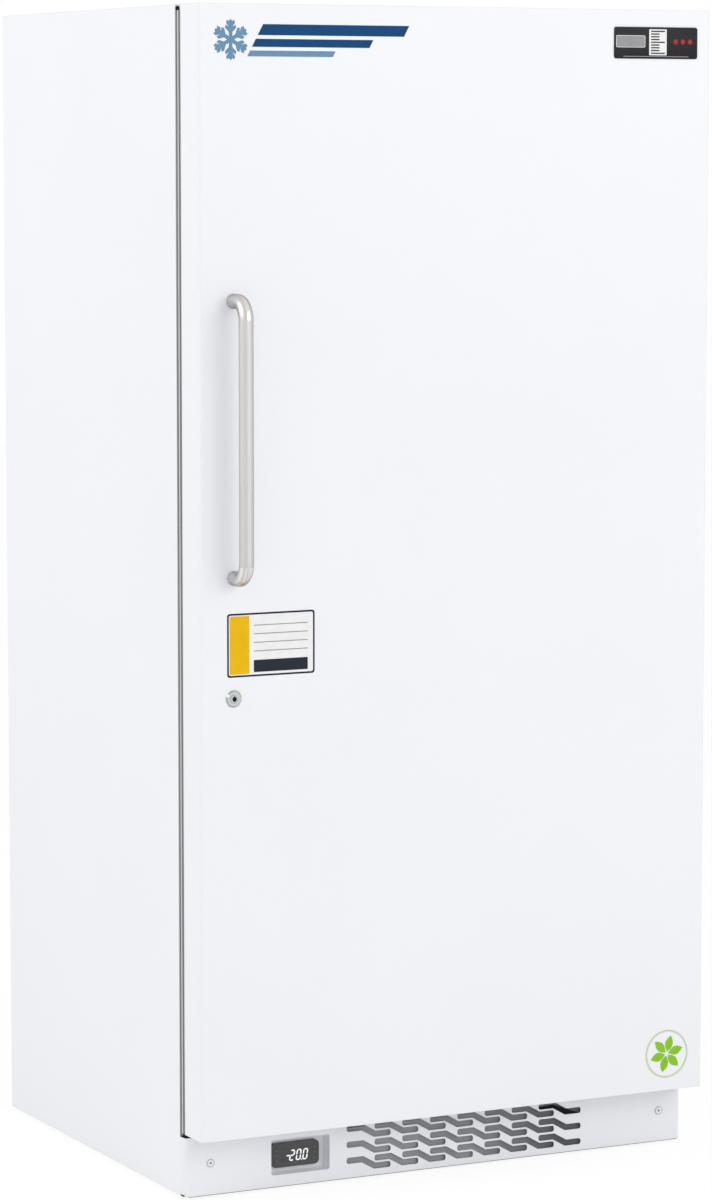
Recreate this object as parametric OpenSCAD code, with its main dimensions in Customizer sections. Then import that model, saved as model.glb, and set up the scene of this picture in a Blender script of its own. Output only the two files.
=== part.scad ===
// Upright laboratory freezer with one solid door, manual-defrost shelves and a front-breathing machine bay.
// Millimetres, +Z up, -Y to the front. The origin is the middle of the footprint, on the floor.

/* [Cabinet] */
// Width of the cabinet and of the door
body_w = 812; // [700:1:900]
// Depth of the cabinet without the door
body_d = 630; // [560:1:760]
// Height of the cabinet above its feet
body_h = 1668; // [1500:1:1900]
// Thickness of the outer steel sheets
sheet_t = 1; // [0.8:0.1:1.5]
// Thickness of the insulated walls, skins included
wall_t = 60; // [54:1:75]
// Thickness of the plastic liners
liner_t = 1.5; // [1:0.1:2.5]
// Width of the steel face that the gasket closes on
flange_w = 46; // [44:1:50]
// Thickness of the breaker strip that lines the throat
breaker_t = 2; // [1.5:0.1:3]
// How far the breaker strip reaches into the throat
breaker_depth = 22; // [12:1:40]
// Height of the air duct below the insulated box
duct_h = 93; // [92:1:110]

/* [Machine bay] */
// Depth of the bay at the rear
bay_depth = 254; // [245:1:290]
// Height of the bay's ceiling
bay_h = 300; // [295:1:360]
// Thickness of the base pan
pan_t = 1.5; // [1:0.1:3]
// Height of the base pan's side and rear flanges
pan_flange_h = 25; // [20:1:30]
// Height of the base pan's front flange
pan_lip_h = 12; // [8:1:13]

/* [Feet] */
// How far the feet stand out below the cabinet when screwed right in
foot_gap = 5; // [4:0.5:12]
// Radius of the foot's stud
foot_stud_r = 5; // [4:0.5:6]
// Length of the stud above the cabinet's underside
foot_stud_len = 46; // [40:1:60]
// Radius of the foot's pad
foot_pad_r = 20; // [16:1:24]
// Distance from the cabinet's sides to the foot's axis
foot_inset_x = 36; // [34:1:60]
// Distance from the cabinet's front and rear to the foot's axis
foot_inset_y = 46; // [40:1:70]

/* [Door] */
// Space between the door and the cabinet
door_gap = 19.3; // [19:0.1:22]
// Thickness of the door
door_t = 56; // [52:1:70]
// Height of the door's lower edge above the cabinet's underside
door_z0 = 90.5; // [90:0.1:92]
// Radius of the door's upright front edges
door_edge_r = 4.5; // [4:0.5:10]
// Distance from the door's hinge edge to the hinge pins
hinge_inset = 14; // [13:0.5:15]
// Distance from the door's back to the hinge pins
hinge_back = 28; // [26:0.5:30]
// Radius of the hinge pins
hinge_pin_r = 4; // [3:0.25:5]
// Thickness of the hinge plates
hinge_plate_t = 3; // [2.5:0.1:3.5]

/* [Door liner] */
// Distance from the door's edge to the raised dyke
dyke_inset_x = 76; // [75:1:90]
// Space between the dyke and the throat above and below
dyke_gap_z = 14; // [10:1:30]
// Width of the dyke at its foot
dyke_w = 30; // [24:1:36]
// Height of the dyke's foot above the door's back
dyke_step = 39; // [30:1:45]
// Height of the dyke above the door's back
dyke_h = 79; // [60:1:80]
// Distance from the door's back to the rack's front
rack_reach = 104; // [90:1:108]
// Height of the rack's walls
rack_h = 70; // [50:1:110]
// Thickness of the rack's walls
rack_t = 3; // [2:0.5:4]
// Number of door racks
rack_count = 4; // [4:1:4]

/* [Handle] */
// Diameter of the handle's tube
handle_d = 20.5; // [18:0.5:28]
// Distance between the handle's two feet
handle_len = 382; // [300:1:450]
// Distance from the door to the tube's centre line
handle_out = 41.75; // [36:0.25:60]
// Radius of the handle's bends
handle_bend_r = 25; // [20:1:30]
// Height of the middle of the handle above the cabinet's underside
handle_z = 1072; // [950:1:1150]
// Distance from the door's edge to the handle
handle_inset = 51.5; // [48:0.5:60]

/* [Lock] */
// Height of the lock above the cabinet's underside
lock_z = 713; // [650:1:760]
// Distance from the door's edge to the lock
lock_inset = 50.5; // [50:0.1:51]
// Radius of the lock's head
lock_head_r = 12; // [11:0.5:14]
// Radius of the lock's barrel
lock_barrel_r = 9.5; // [8:0.5:10]
// Radius of the lock's turning plug
lock_plug_r = 6; // [5:0.5:7]
// Reach of the cam from the lock's axis
cam_len = 15; // [14:0.5:15.5]

/* [Kick panel] */
// Height of the kick panel
kick_h = 84.5; // [83:0.5:85]
// How far the kick panel stands out in front of the cabinet
kick_out = 16.8; // [15:0.1:18]
// Radius of the kick panel's upright corners
kick_r = 9; // [5:0.5:12]
// Width of the controller recess
recess_w = 92.5; // [88:0.5:100]
// Height of the controller recess
recess_h = 51; // [46:0.5:52]
// Depth of the controller recess
recess_d = 20.8; // [19:0.1:24]
// Distance from the middle of the panel to the middle of the recess
recess_x = 225; // [215:1:240]
// Height of the middle of the recess
recess_z = 42.1; // [41:0.1:43]
// Distance from the cabinet's sides to the kick panel's screws
kick_screw_inset = 39; // [36:1:42]
// Height of the kick panel's screws
kick_screw_z = 46; // [43:1:50]

/* [Air slots] */
// Number of slots in a row
slot_cols = 8; // [4:1:8]
// Number of rows of slots
slot_rows = 3; // [1:1:3]
// Length of one slot
slot_len = 71; // [60:0.5:72]
// Width of one slot
slot_w = 9; // [5:0.5:9]
// Radius of the corners at a slot's ends
slot_end_r = 3.5; // [1:0.1:3.5]
// Level stretch at each end of a slot
slot_flat = 25.5; // [18:0.5:26.5]
// Drop of a slot from its left end to its right end
slot_drop = 11.5; // [8:0.5:13]
// Distance between the starts of neighbouring slots
slot_pitch_x = 45; // [44:0.5:48]
// Distance between the rows
slot_pitch_z = 23.4; // [22:0.1:24]
// Distance from the middle of the panel to the start of the first slot
slot_start_x = 151.5; // [145:0.5:160]
// Height of the lowest slot's right end
slot_start_z = 13.5; // [10:0.1:14]

/* [Controller] */
// Width of the controller's bezel
bezel_w = 75; // [74:0.2:80]
// Height of the controller's bezel
bezel_h = 35.2; // [34:0.2:38]
// Thickness of the controller's bezel
bezel_t = 7.8; // [6:0.2:9]
// Radius of the bezel's corners
bezel_r = 7; // [3:0.5:9]
// Width of one key
key_w = 6.6; // [5:0.2:8]
// Height of one key
key_h = 4.4; // [3.4:0.2:5]
// How far a key goes in
key_travel = 0.5; // [0.3:0.1:0.8]

/* [Shelves] */
// Number of cooled shelves
shelf_count = 4; // [4:1:4]
// Height of the lowest shelf above the cabinet's underside
shelf_z0 = 410; // [390:1:450]
// Distance between shelves
shelf_pitch = 300; // [260:1:310]
// Radius of the shelf's refrigerant tube
shelf_tube_r = 4; // [3:0.5:5]
// Number of runs of the tube in one shelf
shelf_runs = 8; // [4:2:10]
// Radius of the shelf's wires
shelf_wire_r = 2; // [1.5:0.25:2.5]
// Number of wires across one shelf
shelf_wires = 13; // [7:2:17]
// Distance from the cabinet's front to the shelf's front
shelf_front = 112; // [110:1:140]

/* [Condenser and fan] */
// Number of fins in the condenser
fin_count = 16; // [8:1:20]
// Distance from the cabinet's left side to the condenser's right face
coil_inset = 236; // [230:1:250]
// Thickness of the condenser
coil_t = 45; // [36:1:60]
// Radius of the fan's opening
fan_ring_r = 103; // [90:1:106]
// Number of fan blades
blade_count = 5; // [3:1:7]
// Angle of the fan blades
blade_pitch = 32; // [20:1:40]
// Radius of the fan motor
motor_r = 36; // [30:1:42]

/* [Compressor] */
// Radius of the compressor's shell
comp_r = 92; // [80:1:96]
// Height of the compressor's shell
comp_h = 190; // [160:1:200]
// Distance from the cabinet's right side to the compressor's axis
comp_inset = 156; // [144:1:161]

/* [Hidden] */

$fn = 48;
white = [0.95, 0.95, 0.96];
plastic_white = [0.91, 0.92, 0.93];
steel = [0.80, 0.78, 0.76];
galvanised = [0.70, 0.72, 0.74];
dark = [0.22, 0.22, 0.23];
copper = [0.72, 0.45, 0.30];

// Clearances
seat_gap = 0.3;
slip = 0.1;
running = 0.05;
cut = 1;

// Cabinet planes
hw = body_w / 2;
side_in = hw - sheet_t;
flange_x = hw - flange_w;
liner_x = hw - wall_t;
liner_in = liner_x - liner_t;
bay_y = body_d - bay_depth;
rear_in = body_d - sheet_t;
floor_z = duct_h + wall_t;
hump_z = bay_h + wall_t;
ceil_z = body_h - wall_t;
step_y = bay_y - wall_t;
back_y = body_d - wall_t;
skin_in = liner_t + breaker_t;

// Door planes
door_back = -door_gap;
door_front = -door_gap - door_t;
door_fill = door_back - liner_t;
hinge_x = hw - hinge_inset;
hinge_y = door_back - hinge_back;
handle_x = handle_inset - hw;
lock_x = lock_inset - hw;

// The inlet's flange is the rearmost face and the handle is the foremost
inlet_flange_t = 2.5;
y_mid = (body_d + inlet_flange_t + door_front - handle_out - handle_d / 2) / 2;

// Hinges: the upper plate lies in a pocket in the door's top, the lower one under the door
hinge_plate_w = 23;
hinge_round_r = hinge_plate_w / 2;
hinge_top_z = body_h - 8;
hinge_pocket_z = hinge_top_z - 1.5;
hinge_pocket_x = hinge_x - hinge_round_r - cut;
hinge_pocket_front = door_front + 6;
hinge_anchor = 40;
bush_r = hinge_pin_r + 3;
bush_flange_r = hinge_pin_r + 6;
bush_len = 20;
pin_len = bush_len - 1;
hinge_low_top = door_z0 - 1.2;
hinge_low_z = hinge_low_top - hinge_plate_t;
hinge_leg_h = 30;
hinge_leg_in = 12;
hinge_screw_drop = 17;

// Gasket: for each layer its outer and inner inset from the door's edges, and where it starts and ends
// between the door's back and the cabinet. It keeps further in along the top and the hinge side.
gasket_rear = door_gap - seat_gap;
gasket_layers = [[4, 34, 0, 0.35], [1.2, 29, 0.35, 0.6], [4, 34, 0.6, 1]];
gasket_shy = 8;

// Dyke and racks on the door's liner
dyke_x = hw - dyke_inset_x;
dyke_z0 = floor_z + skin_in + dyke_gap_z;
dyke_z1 = ceil_z - skin_in - dyke_gap_z;
dyke_slim = 4;
rack_x = dyke_x - dyke_w - seat_gap;
rack_z0 = dyke_z0 + dyke_w + 10;
rack_pitch = (dyke_z1 - rack_z0) / rack_count;
rack_lip_r = 4;

// Lock and strike
lock_hole_r = lock_barrel_r + slip;
lock_neck_r = lock_plug_r + 1;
lock_flange_t = 3;
lock_end = door_back + 4;
cam_t = 3;
cam_w = 8;
cam_hub_r = 5.5;
cam_y0 = lock_end + 0.5;
cam_y1 = cam_y0 + cam_t;
strike_gap = 1.2;
strike_t = 2;
strike_x0 = lock_x - cam_len - 0.7;
strike_x1 = lock_x - lock_neck_r - 2;
strike_z = cam_w / 2 + 1.5;

// Handle
handle_top = handle_z + handle_len / 2;
handle_low = handle_z - handle_len / 2;
handle_y = door_front - handle_out;
handle_stud_r = 4;
handle_nut_r = 8;
handle_nut_t = 7;

// Kick panel
kick_front = -kick_out;
kick_in = kick_front + sheet_t;
kick_flange_end = -5;
kick_screw_x = hw - kick_screw_inset;
tab_h = 24;
tab_in = 22;
recess_r = 4;
pocket_t = 1.2;
pocket_floor = kick_front + recess_d;

// Controller
ctrl_x = -recess_x - 1.9;
ctrl_z = recess_z - 1;
bezel_front = pocket_floor - bezel_t;
ctrl_body_w = bezel_w - 5;
ctrl_body_h = bezel_h - 6;
ctrl_body_d = 55;
window_w = 46;
window_h = 20;
window_t = 1.2;
key_x = bezel_w / 2 - 7.4;
key_pitch = 8;
key_proud = 0.4;
key_deep = 1.2;
key_gap = 0.15;

// Filter behind the slots
filter_t = 6;
filter_frame = 7;
filter_margin = 8;
filter_core_t = 2;

// Screws
screw_r = 2;
screw_hole_r = screw_r + slip;
screw_head_r = 6;
screw_head_t = 2.2;
screw_len = 9;

// Shelves
shelf_back = back_y - liner_t - 10;
rail_w = 15;
rail_t = 1.5;
rail_h = 18;
shelf_bend_x = liner_in - 14 - shelf_tube_r;
run_pitch = 2 * floor((shelf_back - shelf_front - 2 * shelf_tube_r) / (shelf_runs - 1) / 2);
shelf_run_x = shelf_bend_x - run_pitch / 2;
riser_x = shelf_run_x - 20;
socket_r = shelf_tube_r + 1.5;
socket_h = shelf_tube_r + 4;

// Machine bay
bay_mid_y = (bay_y + rear_in) / 2;
coil_gap_y = 14;
coil_y0 = bay_y + coil_gap_y;
coil_y1 = rear_in - coil_gap_y;
coil_x1 = coil_inset - hw;
coil_x0 = coil_x1 - coil_t;
coil_mid = (coil_x0 + coil_x1) / 2;
coil_z1 = bay_h - 30;
coil_tube_r = 4.5;
coil_rows = 8;
coil_foot = 24;
coil_row_pitch = (coil_z1 - coil_foot - 24) / (coil_rows - 1);
end_plate_t = 1.5;
fin_t = 0.8;
shroud_t = 1.5;
shroud_x = coil_x1 + shroud_t;
fan_z = 140;
fan_ring_t = 2;
fan_ring_d = 26;
fan_x = shroud_x + 8;
blade_r = fan_ring_r - 5;
blade_t = 2;
blade_depth = 26;
hub_r = 17;
hub_len = 24;
motor_shaft_r = 3;
motor_x = fan_x + hub_len + 14;
motor_len = 58;
motor_strap = 6;
strut_r = 4;
comp_x = hw - comp_inset;
comp_y = bay_mid_y;
grommet_h = 20;
grommet_r = 13;
grommet_neck_r = 7;
comp_plate_t = 3;
comp_plate_z = pan_t + grommet_h;
comp_z = comp_plate_z + comp_plate_t;
comp_plate_x = 112;
comp_plate_y = 82;
comp_foot_x = 92;
comp_foot_y = 62;
stub_r = 5;
stub_out = 18;
stub_y = 50;
stub_z = comp_z + 0.78 * comp_h;
relay_d = 30;
relay_w = 52;
relay_h = 60;
relay_z = comp_z + 34;
relay_boss = 12;
line_r = 4;
line_gap = 14;
drier_r = 10;
drier_len = 90;
rear_flange_w = 20;
rear_cover_z0 = pan_t + 1;
rear_screw_z = 60;
louvre_len = 60;
louvre_h = 5;
louvre_pitch_x = 84;
louvre_pitch_z = 15;
louvre_rows = 9;
louvre_z0 = 100;
louvre_cols = 2 * floor((side_in - louvre_pitch_x) / louvre_pitch_x);
inlet_inset = 76;
inlet_x = hw - inlet_inset;
inlet_z = 60;
inlet_w = 27;
inlet_h = 20;
port_inset = 156;
port_drop = 360;
port_x = port_inset - hw;
port_z = body_h - port_drop;
port_r = 8;
port_flange_t = 2;

module placed() {
    translate([0, -y_mid, foot_gap]) children();
}

module box(low, high) {
    translate(low) cube(high - low);
}

// A plate that is drawn in X and Z, from y0 back to y1
module upright(y0, y1) {
    translate([0, y1, 0]) rotate([90, 0, 0]) linear_extrude(y1 - y0) children();
}

// A section that is drawn in Y and Z, from x0 to x1
module along_x(x0, x1) {
    translate([x0, 0, 0]) rotate([90, 0, 90]) linear_extrude(x1 - x0) children();
}

// A round bar on the Y axis, from y0 back to y1
module pin_y(x, z, y0, y1, r) {
    translate([x, y1, z]) rotate([90, 0, 0]) cylinder(h = y1 - y0, r = r);
}

// A round bar on the X axis
module pin_x(y, z, x0, x1, r) {
    translate([x0, y, z]) rotate([0, 90, 0]) cylinder(h = x1 - x0, r = r);
}

// A rectangle with round corners, about its own middle
module soft_rect(w, h, r) {
    square([w, h - 2 * r], center = true);
    square([w - 2 * r, h], center = true);
    for (x = [-1, 1], z = [-1, 1])
        translate([x * (w / 2 - r), z * (h / 2 - r)]) circle(r);
}

module frame_2d(x_out, z_low, z_high, x_in, z_in_low, z_in_high) {
    difference() {
        translate([-x_out, z_low]) square([2 * x_out, z_high - z_low]);
        translate([-x_in, z_in_low]) square([2 * x_in, z_in_high - z_in_low]);
    }
}

// Plan of a panel whose two front corners are round, from its front y0 to its back y1
module round_front_plan(half_w, y0, y1, r) {
    difference() {
        translate([-half_w, y0]) square([2 * half_w, y1 - y0]);
        for (side = [0, 1]) mirror([side, 0, 0]) difference() {
            translate([half_w - r, y0 - cut]) square([r + cut, r + cut]);
            translate([half_w - r, y0 + r]) circle(r);
        }
    }
}

// Side section of the storage space, grown inwards by t, from the given front
function cavity(t, front) = [
    [front, floor_z + t], [step_y - t, floor_z + t], [step_y - t, hump_z + t],
    [back_y - t, hump_z + t], [back_y - t, ceil_z - t], [front, ceil_z - t]];

module side_panel(side) {
    difference() {
        union() {
            box([side_in, 0, 0], [hw, body_d, body_h]);
            box([flange_x, 0, 0], [hw, sheet_t, body_h]);
            box([side_in - rear_flange_w, rear_in - sheet_t, pan_flange_h + 5], [hw, rear_in, bay_h]);
            kick_tab();
        }
        pin_y(kick_screw_x, kick_screw_z, kick_in - cut, 0, screw_hole_r);
        for (z = rear_screw_heights())
            pin_y(side_in - rear_flange_w / 2, z, rear_in - 2 * sheet_t, rear_in + cut, screw_hole_r);
        if (side > 0) {
            hinge_plate_slot();
            for (x = hinge_screw_places())
                pin_y(x, hinge_low_top - hinge_screw_drop, -cut, 2 * sheet_t, screw_hole_r);
        }
    }
}

// The folded tab that the kick panel is screwed to
module kick_tab() {
    x0 = kick_screw_x - tab_h / 2;
    z0 = kick_screw_z - tab_h / 2;
    box([x0, kick_in, z0], [x0 + tab_in, kick_in + pan_t, z0 + tab_h]);
    box([x0, kick_in, z0], [x0 + pan_t, sheet_t / 2, z0 + tab_h]);
    box([x0, -pan_t, z0], [x0 + tab_h + pan_t, sheet_t / 2, z0 + tab_h]);
}

module side_panel_left() {
    color(white) placed() mirror([1, 0, 0]) side_panel(-1);
}

module side_panel_right() {
    color(white) placed() side_panel(1);
}

module top_panel() {
    color(white) placed() {
        box([-side_in, sheet_t, body_h - sheet_t], [side_in, body_d, body_h]);
        box([-flange_x, 0, body_h - sheet_t], [flange_x, 2 * sheet_t, body_h]);
        box([-flange_x, 0, body_h - flange_w], [flange_x, sheet_t, body_h]);
    }
}

module rear_panel() {
    color(white) placed() difference() {
        box([-side_in, rear_in, bay_h + sheet_t], [side_in, body_d, body_h - sheet_t]);
        pin_y(port_x, port_z, rear_in - cut, body_d + cut, port_r + slip);
    }
}

module underside_panel() {
    color(galvanised) placed() {
        along_x(-side_in, side_in) polygon([
            [sheet_t, duct_h], [bay_y, duct_h], [bay_y, bay_h], [rear_in, bay_h],
            [rear_in, bay_h + sheet_t], [bay_y - sheet_t, bay_h + sheet_t],
            [bay_y - sheet_t, duct_h + sheet_t], [sheet_t, duct_h + sheet_t]]);
        box([-flange_x, 0, duct_h], [flange_x, 2 * sheet_t, duct_h + sheet_t]);
        box([-flange_x, 0, duct_h], [flange_x, sheet_t, duct_h + flange_w]);
    }
}

module cabinet_foam() {
    color([0.93, 0.87, 0.66]) placed() difference() {
        along_x(-side_in, side_in) polygon([
            [sheet_t, duct_h + sheet_t], [bay_y - sheet_t, duct_h + sheet_t],
            [bay_y - sheet_t, bay_h + sheet_t], [rear_in, bay_h + sheet_t],
            [rear_in, body_h - sheet_t], [sheet_t, body_h - sheet_t]]);
        along_x(-liner_x, liner_x) polygon(cavity(0, 0));
        hinge_plate_slot();
        pin_y(port_x, port_z, back_y - cut, body_d, port_r + slip);
    }
}

module cabinet_liner() {
    color(plastic_white) placed() difference() {
        along_x(-liner_x, liner_x) polygon(cavity(0, sheet_t));
        along_x(-liner_in, liner_in) polygon(cavity(liner_t, 0));
        pin_y(port_x, port_z, back_y - liner_t - cut, back_y + cut, port_r + slip);
    }
}

module breaker_frame() {
    x_in = liner_x - skin_in;
    z_low = floor_z + skin_in;
    z_high = ceil_z - skin_in;
    color(plastic_white) placed() {
        upright(0, sheet_t)
            frame_2d(flange_x, duct_h + flange_w, body_h - flange_w, x_in, z_low, z_high);
        upright(0, breaker_depth)
            frame_2d(liner_in, floor_z + liner_t, ceil_z - liner_t, x_in, z_low, z_high);
    }
}

function shelf_z(i) = shelf_z0 + i * shelf_pitch;

// Angle rails on the liner's side walls
module shelf_rails() {
    color(galvanised) placed()
        for (i = [0 : shelf_count - 1], side = [0, 1]) mirror([side, 0, 0]) {
            top = shelf_z(i) - shelf_tube_r - seat_gap;
            box([liner_in - rail_w, shelf_front, top - rail_t], [liner_in, shelf_back, top]);
            box([liner_in - rail_t, shelf_front, top - rail_h], [liner_in, shelf_back, top]);
        }
}

function run_y(k) = shelf_front + shelf_tube_r + k * run_pitch;

// One shelf: a tube that runs to and fro, with square wires welded across it
module evaporator_shelf(i) {
    wire_pitch = 2 * (shelf_run_x - 6) / (shelf_wires - 1);
    wire_z = shelf_tube_r - 0.8;
    color([0.88, 0.90, 0.92]) placed() translate([0, 0, shelf_z(i)]) {
        for (k = [0 : shelf_runs - 1])
            pin_x(run_y(k), 0, -shelf_run_x, shelf_run_x, shelf_tube_r);
        for (k = [0 : shelf_runs - 2]) {
            side = k % 2 == 0 ? 1 : -1;
            translate([side * shelf_run_x, (run_y(k) + run_y(k + 1)) / 2, 0])
                rotate([0, 0, side > 0 ? -90 : 90])
                    rotate_extrude(angle = 180) translate([run_pitch / 2, 0]) circle(shelf_tube_r);
        }
        for (k = [0 : shelf_wires - 1]) {
            x = 6 - shelf_run_x + k * wire_pitch;
            box([x - shelf_wire_r, run_y(0) - shelf_tube_r, wire_z],
                [x + shelf_wire_r, run_y(shelf_runs - 1) + shelf_tube_r, wire_z + 2 * shelf_wire_r]);
        }
        // Sockets for the risers, below one end of the circuit and above the other
        if (i < shelf_count - 1) riser_socket(i, 1);
        if (i > 0) riser_socket(i - 1, -1);
    }
}

function riser_side(i) = i % 2 == 0 ? -1 : 1;

module riser_socket(i, up) {
    low = up > 0 ? 0 : -socket_h;
    translate([riser_side(i) * riser_x, run_y(shelf_runs - 1), low]) cylinder(h = socket_h, r = socket_r);
}

module evaporator_shelf_1() { evaporator_shelf(0); }
module evaporator_shelf_2() { evaporator_shelf(1); }
module evaporator_shelf_3() { evaporator_shelf(2); }
module evaporator_shelf_4() { evaporator_shelf(3); }

// The tubes that lead the refrigerant from shelf to shelf, and the last one down to the liner's hump
module evaporator_risers() {
    color([0.88, 0.90, 0.92]) placed() {
        for (i = [0 : shelf_count - 2])
            translate([riser_side(i) * riser_x, run_y(shelf_runs - 1), shelf_z(i) + socket_h])
                cylinder(h = shelf_pitch - 2 * socket_h, r = shelf_tube_r);
        translate([riser_x, run_y(shelf_runs - 1), hump_z + liner_t])
            cylinder(h = shelf_z(0) - shelf_tube_r - hump_z - liner_t, r = shelf_tube_r);
    }
}

// A sensing bulb held by a clip on the liner's right wall
module temperature_probe() {
    clip_w = 12;
    bulb_r = 3;
    bulb_len = 60;
    y = (step_y + back_y) / 2;
    z = shelf_z(2) + shelf_pitch / 2;
    color(steel) placed() {
        box([liner_in - clip_w, y - clip_w / 2, z - clip_w / 2], [liner_in, y + clip_w / 2, z + clip_w / 2]);
        translate([liner_in - clip_w / 2, y, z - bulb_len / 2]) cylinder(h = bulb_len, r = bulb_r);
    }
}

// A plugged sleeve through the rear wall
module probe_port() {
    inside = back_y - liner_t;
    color(plastic_white) placed() {
        pin_y(port_x, port_z, inside - port_flange_t, body_d + port_flange_t, port_r);
        pin_y(port_x, port_z, inside - port_flange_t, inside, port_r + 4);
        pin_y(port_x, port_z, body_d, body_d + port_flange_t, port_r + 4);
    }
}

function foot_places() = [for (y = [foot_inset_y, body_d - foot_inset_y], x = [-1, 1]) [x * (hw - foot_inset_x), y]];

module base_pan() {
    nut_r = foot_stud_r + 6;
    nut_h = 14;
    color(galvanised) placed() difference() {
        union() {
            box([-side_in, sheet_t, 0], [side_in, rear_in, pan_t]);
            box([-side_in, sheet_t, 0], [side_in, sheet_t + pan_t, pan_lip_h]);
            box([-side_in, rear_in - pan_t, 0], [side_in, rear_in, pan_flange_h]);
            for (side = [0, 1]) mirror([side, 0, 0])
                box([side_in - pan_t, sheet_t, 0], [side_in, rear_in, pan_flange_h]);
            for (p = foot_places()) translate([p[0], p[1], 0]) cylinder(h = pan_t + nut_h, r = nut_r, $fn = 6);
        }
        for (p = foot_places())
            translate([p[0], p[1], -cut]) cylinder(h = nut_h + 2 * cut + pan_t, r = foot_stud_r + running);
        for (x = rear_screw_columns())
            pin_y(x, pan_flange_h / 2, rear_in - pan_t - cut, rear_in + cut, screw_hole_r);
    }
}

module foot(i) {
    p = foot_places()[i];
    color(dark) placed() translate([p[0], p[1], -foot_gap]) {
        rotate_extrude() polygon([[0, 0], [foot_pad_r - 1, 0], [foot_pad_r, 1], [foot_pad_r, foot_gap / 2],
            [foot_pad_r - 5, foot_gap - seat_gap], [0, foot_gap - seat_gap]]);
        cylinder(h = foot_stud_len + foot_gap, r = foot_stud_r);
    }
}

module foot_front_left() { foot(0); }
module foot_front_right() { foot(1); }
module foot_rear_left() { foot(2); }
module foot_rear_right() { foot(3); }

// A bent slot: level, sloping down, level again, with softly rounded ends
module bent_slot() {
    half = slot_w / 2;
    bend = [slot_flat, slot_drop];
    rise = [slot_len - slot_flat, 0];
    mitre = [half * tan(atan2(slot_drop, slot_len - 2 * slot_flat) / 2), half];
    polygon([
        [slot_end_r, slot_drop + half], bend + mitre, rise + mitre, [slot_len - slot_end_r, half],
        [slot_len - slot_end_r, -half], rise - mitre, bend - mitre, [slot_end_r, slot_drop - half]
    ]);
    for (end = [[slot_flat / 2, slot_drop], [slot_len - slot_flat / 2, 0]])
        translate(end) soft_rect(slot_flat, slot_w, slot_end_r);
}

// The front with its interleaved slots, folded round the cabinet's corners
module kick_panel() {
    color(white) placed() difference() {
        linear_extrude(kick_h) round_front_plan(hw, kick_front, 0, kick_r);
        translate([0, 0, sheet_t]) linear_extrude(kick_h - 2 * sheet_t)
            round_front_plan(side_in, kick_in, cut, kick_r - sheet_t);
        box([-side_in, kick_flange_end, -cut], [side_in, cut, kick_h + cut]);
        upright(kick_front - cut, kick_in + cut) {
            for (row = [0 : slot_rows - 1], col = [0 : slot_cols - 1])
                translate([col * slot_pitch_x - slot_start_x, slot_start_z + row * slot_pitch_z]) bent_slot();
            translate([-recess_x, recess_z]) soft_rect(recess_w, recess_h, recess_r);
            for (x = [-1, 1]) translate([x * kick_screw_x, kick_screw_z]) circle(screw_hole_r);
        }
    }
}

module screw(length, head_r) {
    rotate([90, 0, 0]) {
        translate([0, 0, -length]) cylinder(h = length, r = screw_r);
        difference() {
            cylinder(h = screw_head_t, r = head_r);
            translate([0, 0, screw_head_t - 1]) cylinder(h = 2, r = screw_r, $fn = 6);
        }
    }
}

function hinge_screw_places() = [flange_x + 11, hinge_x];
function rear_screw_heights() = [rear_screw_z, bay_h - rear_screw_z];
function rear_screw_columns() = [-hw / 2, hw / 2];

// Screws of the kick panel, the lower hinge and the rear cover
module panel_screws() {
    color(steel) placed() {
        for (x = [-1, 1]) translate([x * kick_screw_x, kick_front, kick_screw_z]) screw(screw_len, screw_head_r);
        for (x = hinge_screw_places())
            translate([x, -hinge_plate_t, hinge_low_top - hinge_screw_drop]) screw(screw_len, screw_r + 2);
        for (x = [-1, 1], z = rear_screw_heights())
            translate([x * (side_in - rear_flange_w / 2), body_d, z]) mirror([0, 1, 0]) screw(screw_len, screw_r + 2);
        for (x = rear_screw_columns())
            translate([x, body_d, pan_flange_h / 2]) mirror([0, 1, 0]) screw(screw_len, screw_r + 2);
    }
}

module controller_pocket() {
    color(white) placed() difference() {
        upright(kick_in, pocket_floor + pocket_t) translate([-recess_x, recess_z])
            soft_rect(recess_w + 2 * pocket_t, recess_h + 2 * pocket_t, recess_r + pocket_t);
        upright(kick_in - cut, pocket_floor) translate([-recess_x, recess_z])
            soft_rect(recess_w, recess_h, recess_r);
        upright(pocket_floor - cut, pocket_floor + pocket_t + cut) translate([ctrl_x, ctrl_z])
            square([ctrl_body_w + 2 * slip, ctrl_body_h + 2 * slip], center = true);
    }
}

function key_place(i) = [ctrl_x + (i < 3 ? -key_x : key_x), ctrl_z + (1 - i % 3) * key_pitch];

module controller_housing() {
    color(dark) placed() difference() {
        union() {
            upright(bezel_front, pocket_floor) translate([ctrl_x, ctrl_z]) soft_rect(bezel_w, bezel_h, bezel_r);
            upright(pocket_floor - cut, pocket_floor + ctrl_body_d) translate([ctrl_x, ctrl_z])
                square([ctrl_body_w, ctrl_body_h], center = true);
        }
        upright(bezel_front - cut, bezel_front + window_t) translate([ctrl_x, ctrl_z])
            soft_rect(window_w, window_h, 2);
        upright(bezel_front - cut, bezel_front + key_deep + key_travel + slip) for (i = [0 : 5])
            translate(key_place(i)) soft_rect(key_w + 2 * key_gap, key_h + 2 * key_gap, key_h / 2);
    }
}

module controller_window() {
    color([0.12, 0.12, 0.13]) placed()
        upright(bezel_front, bezel_front + window_t) translate([ctrl_x, ctrl_z])
            soft_rect(window_w - 2 * slip, window_h - 2 * slip, 2 - slip);
}

module key(i) {
    color([0.35, 0.35, 0.36]) placed()
        upright(bezel_front - key_proud, bezel_front + key_deep)
            translate(key_place(i)) soft_rect(key_w, key_h, key_h / 2 - key_gap);
}

module key_1() { key(0); }
module key_2() { key(1); }
module key_3() { key(2); }
module key_4() { key(3); }
module key_5() { key(4); }
module key_6() { key(5); }

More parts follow.
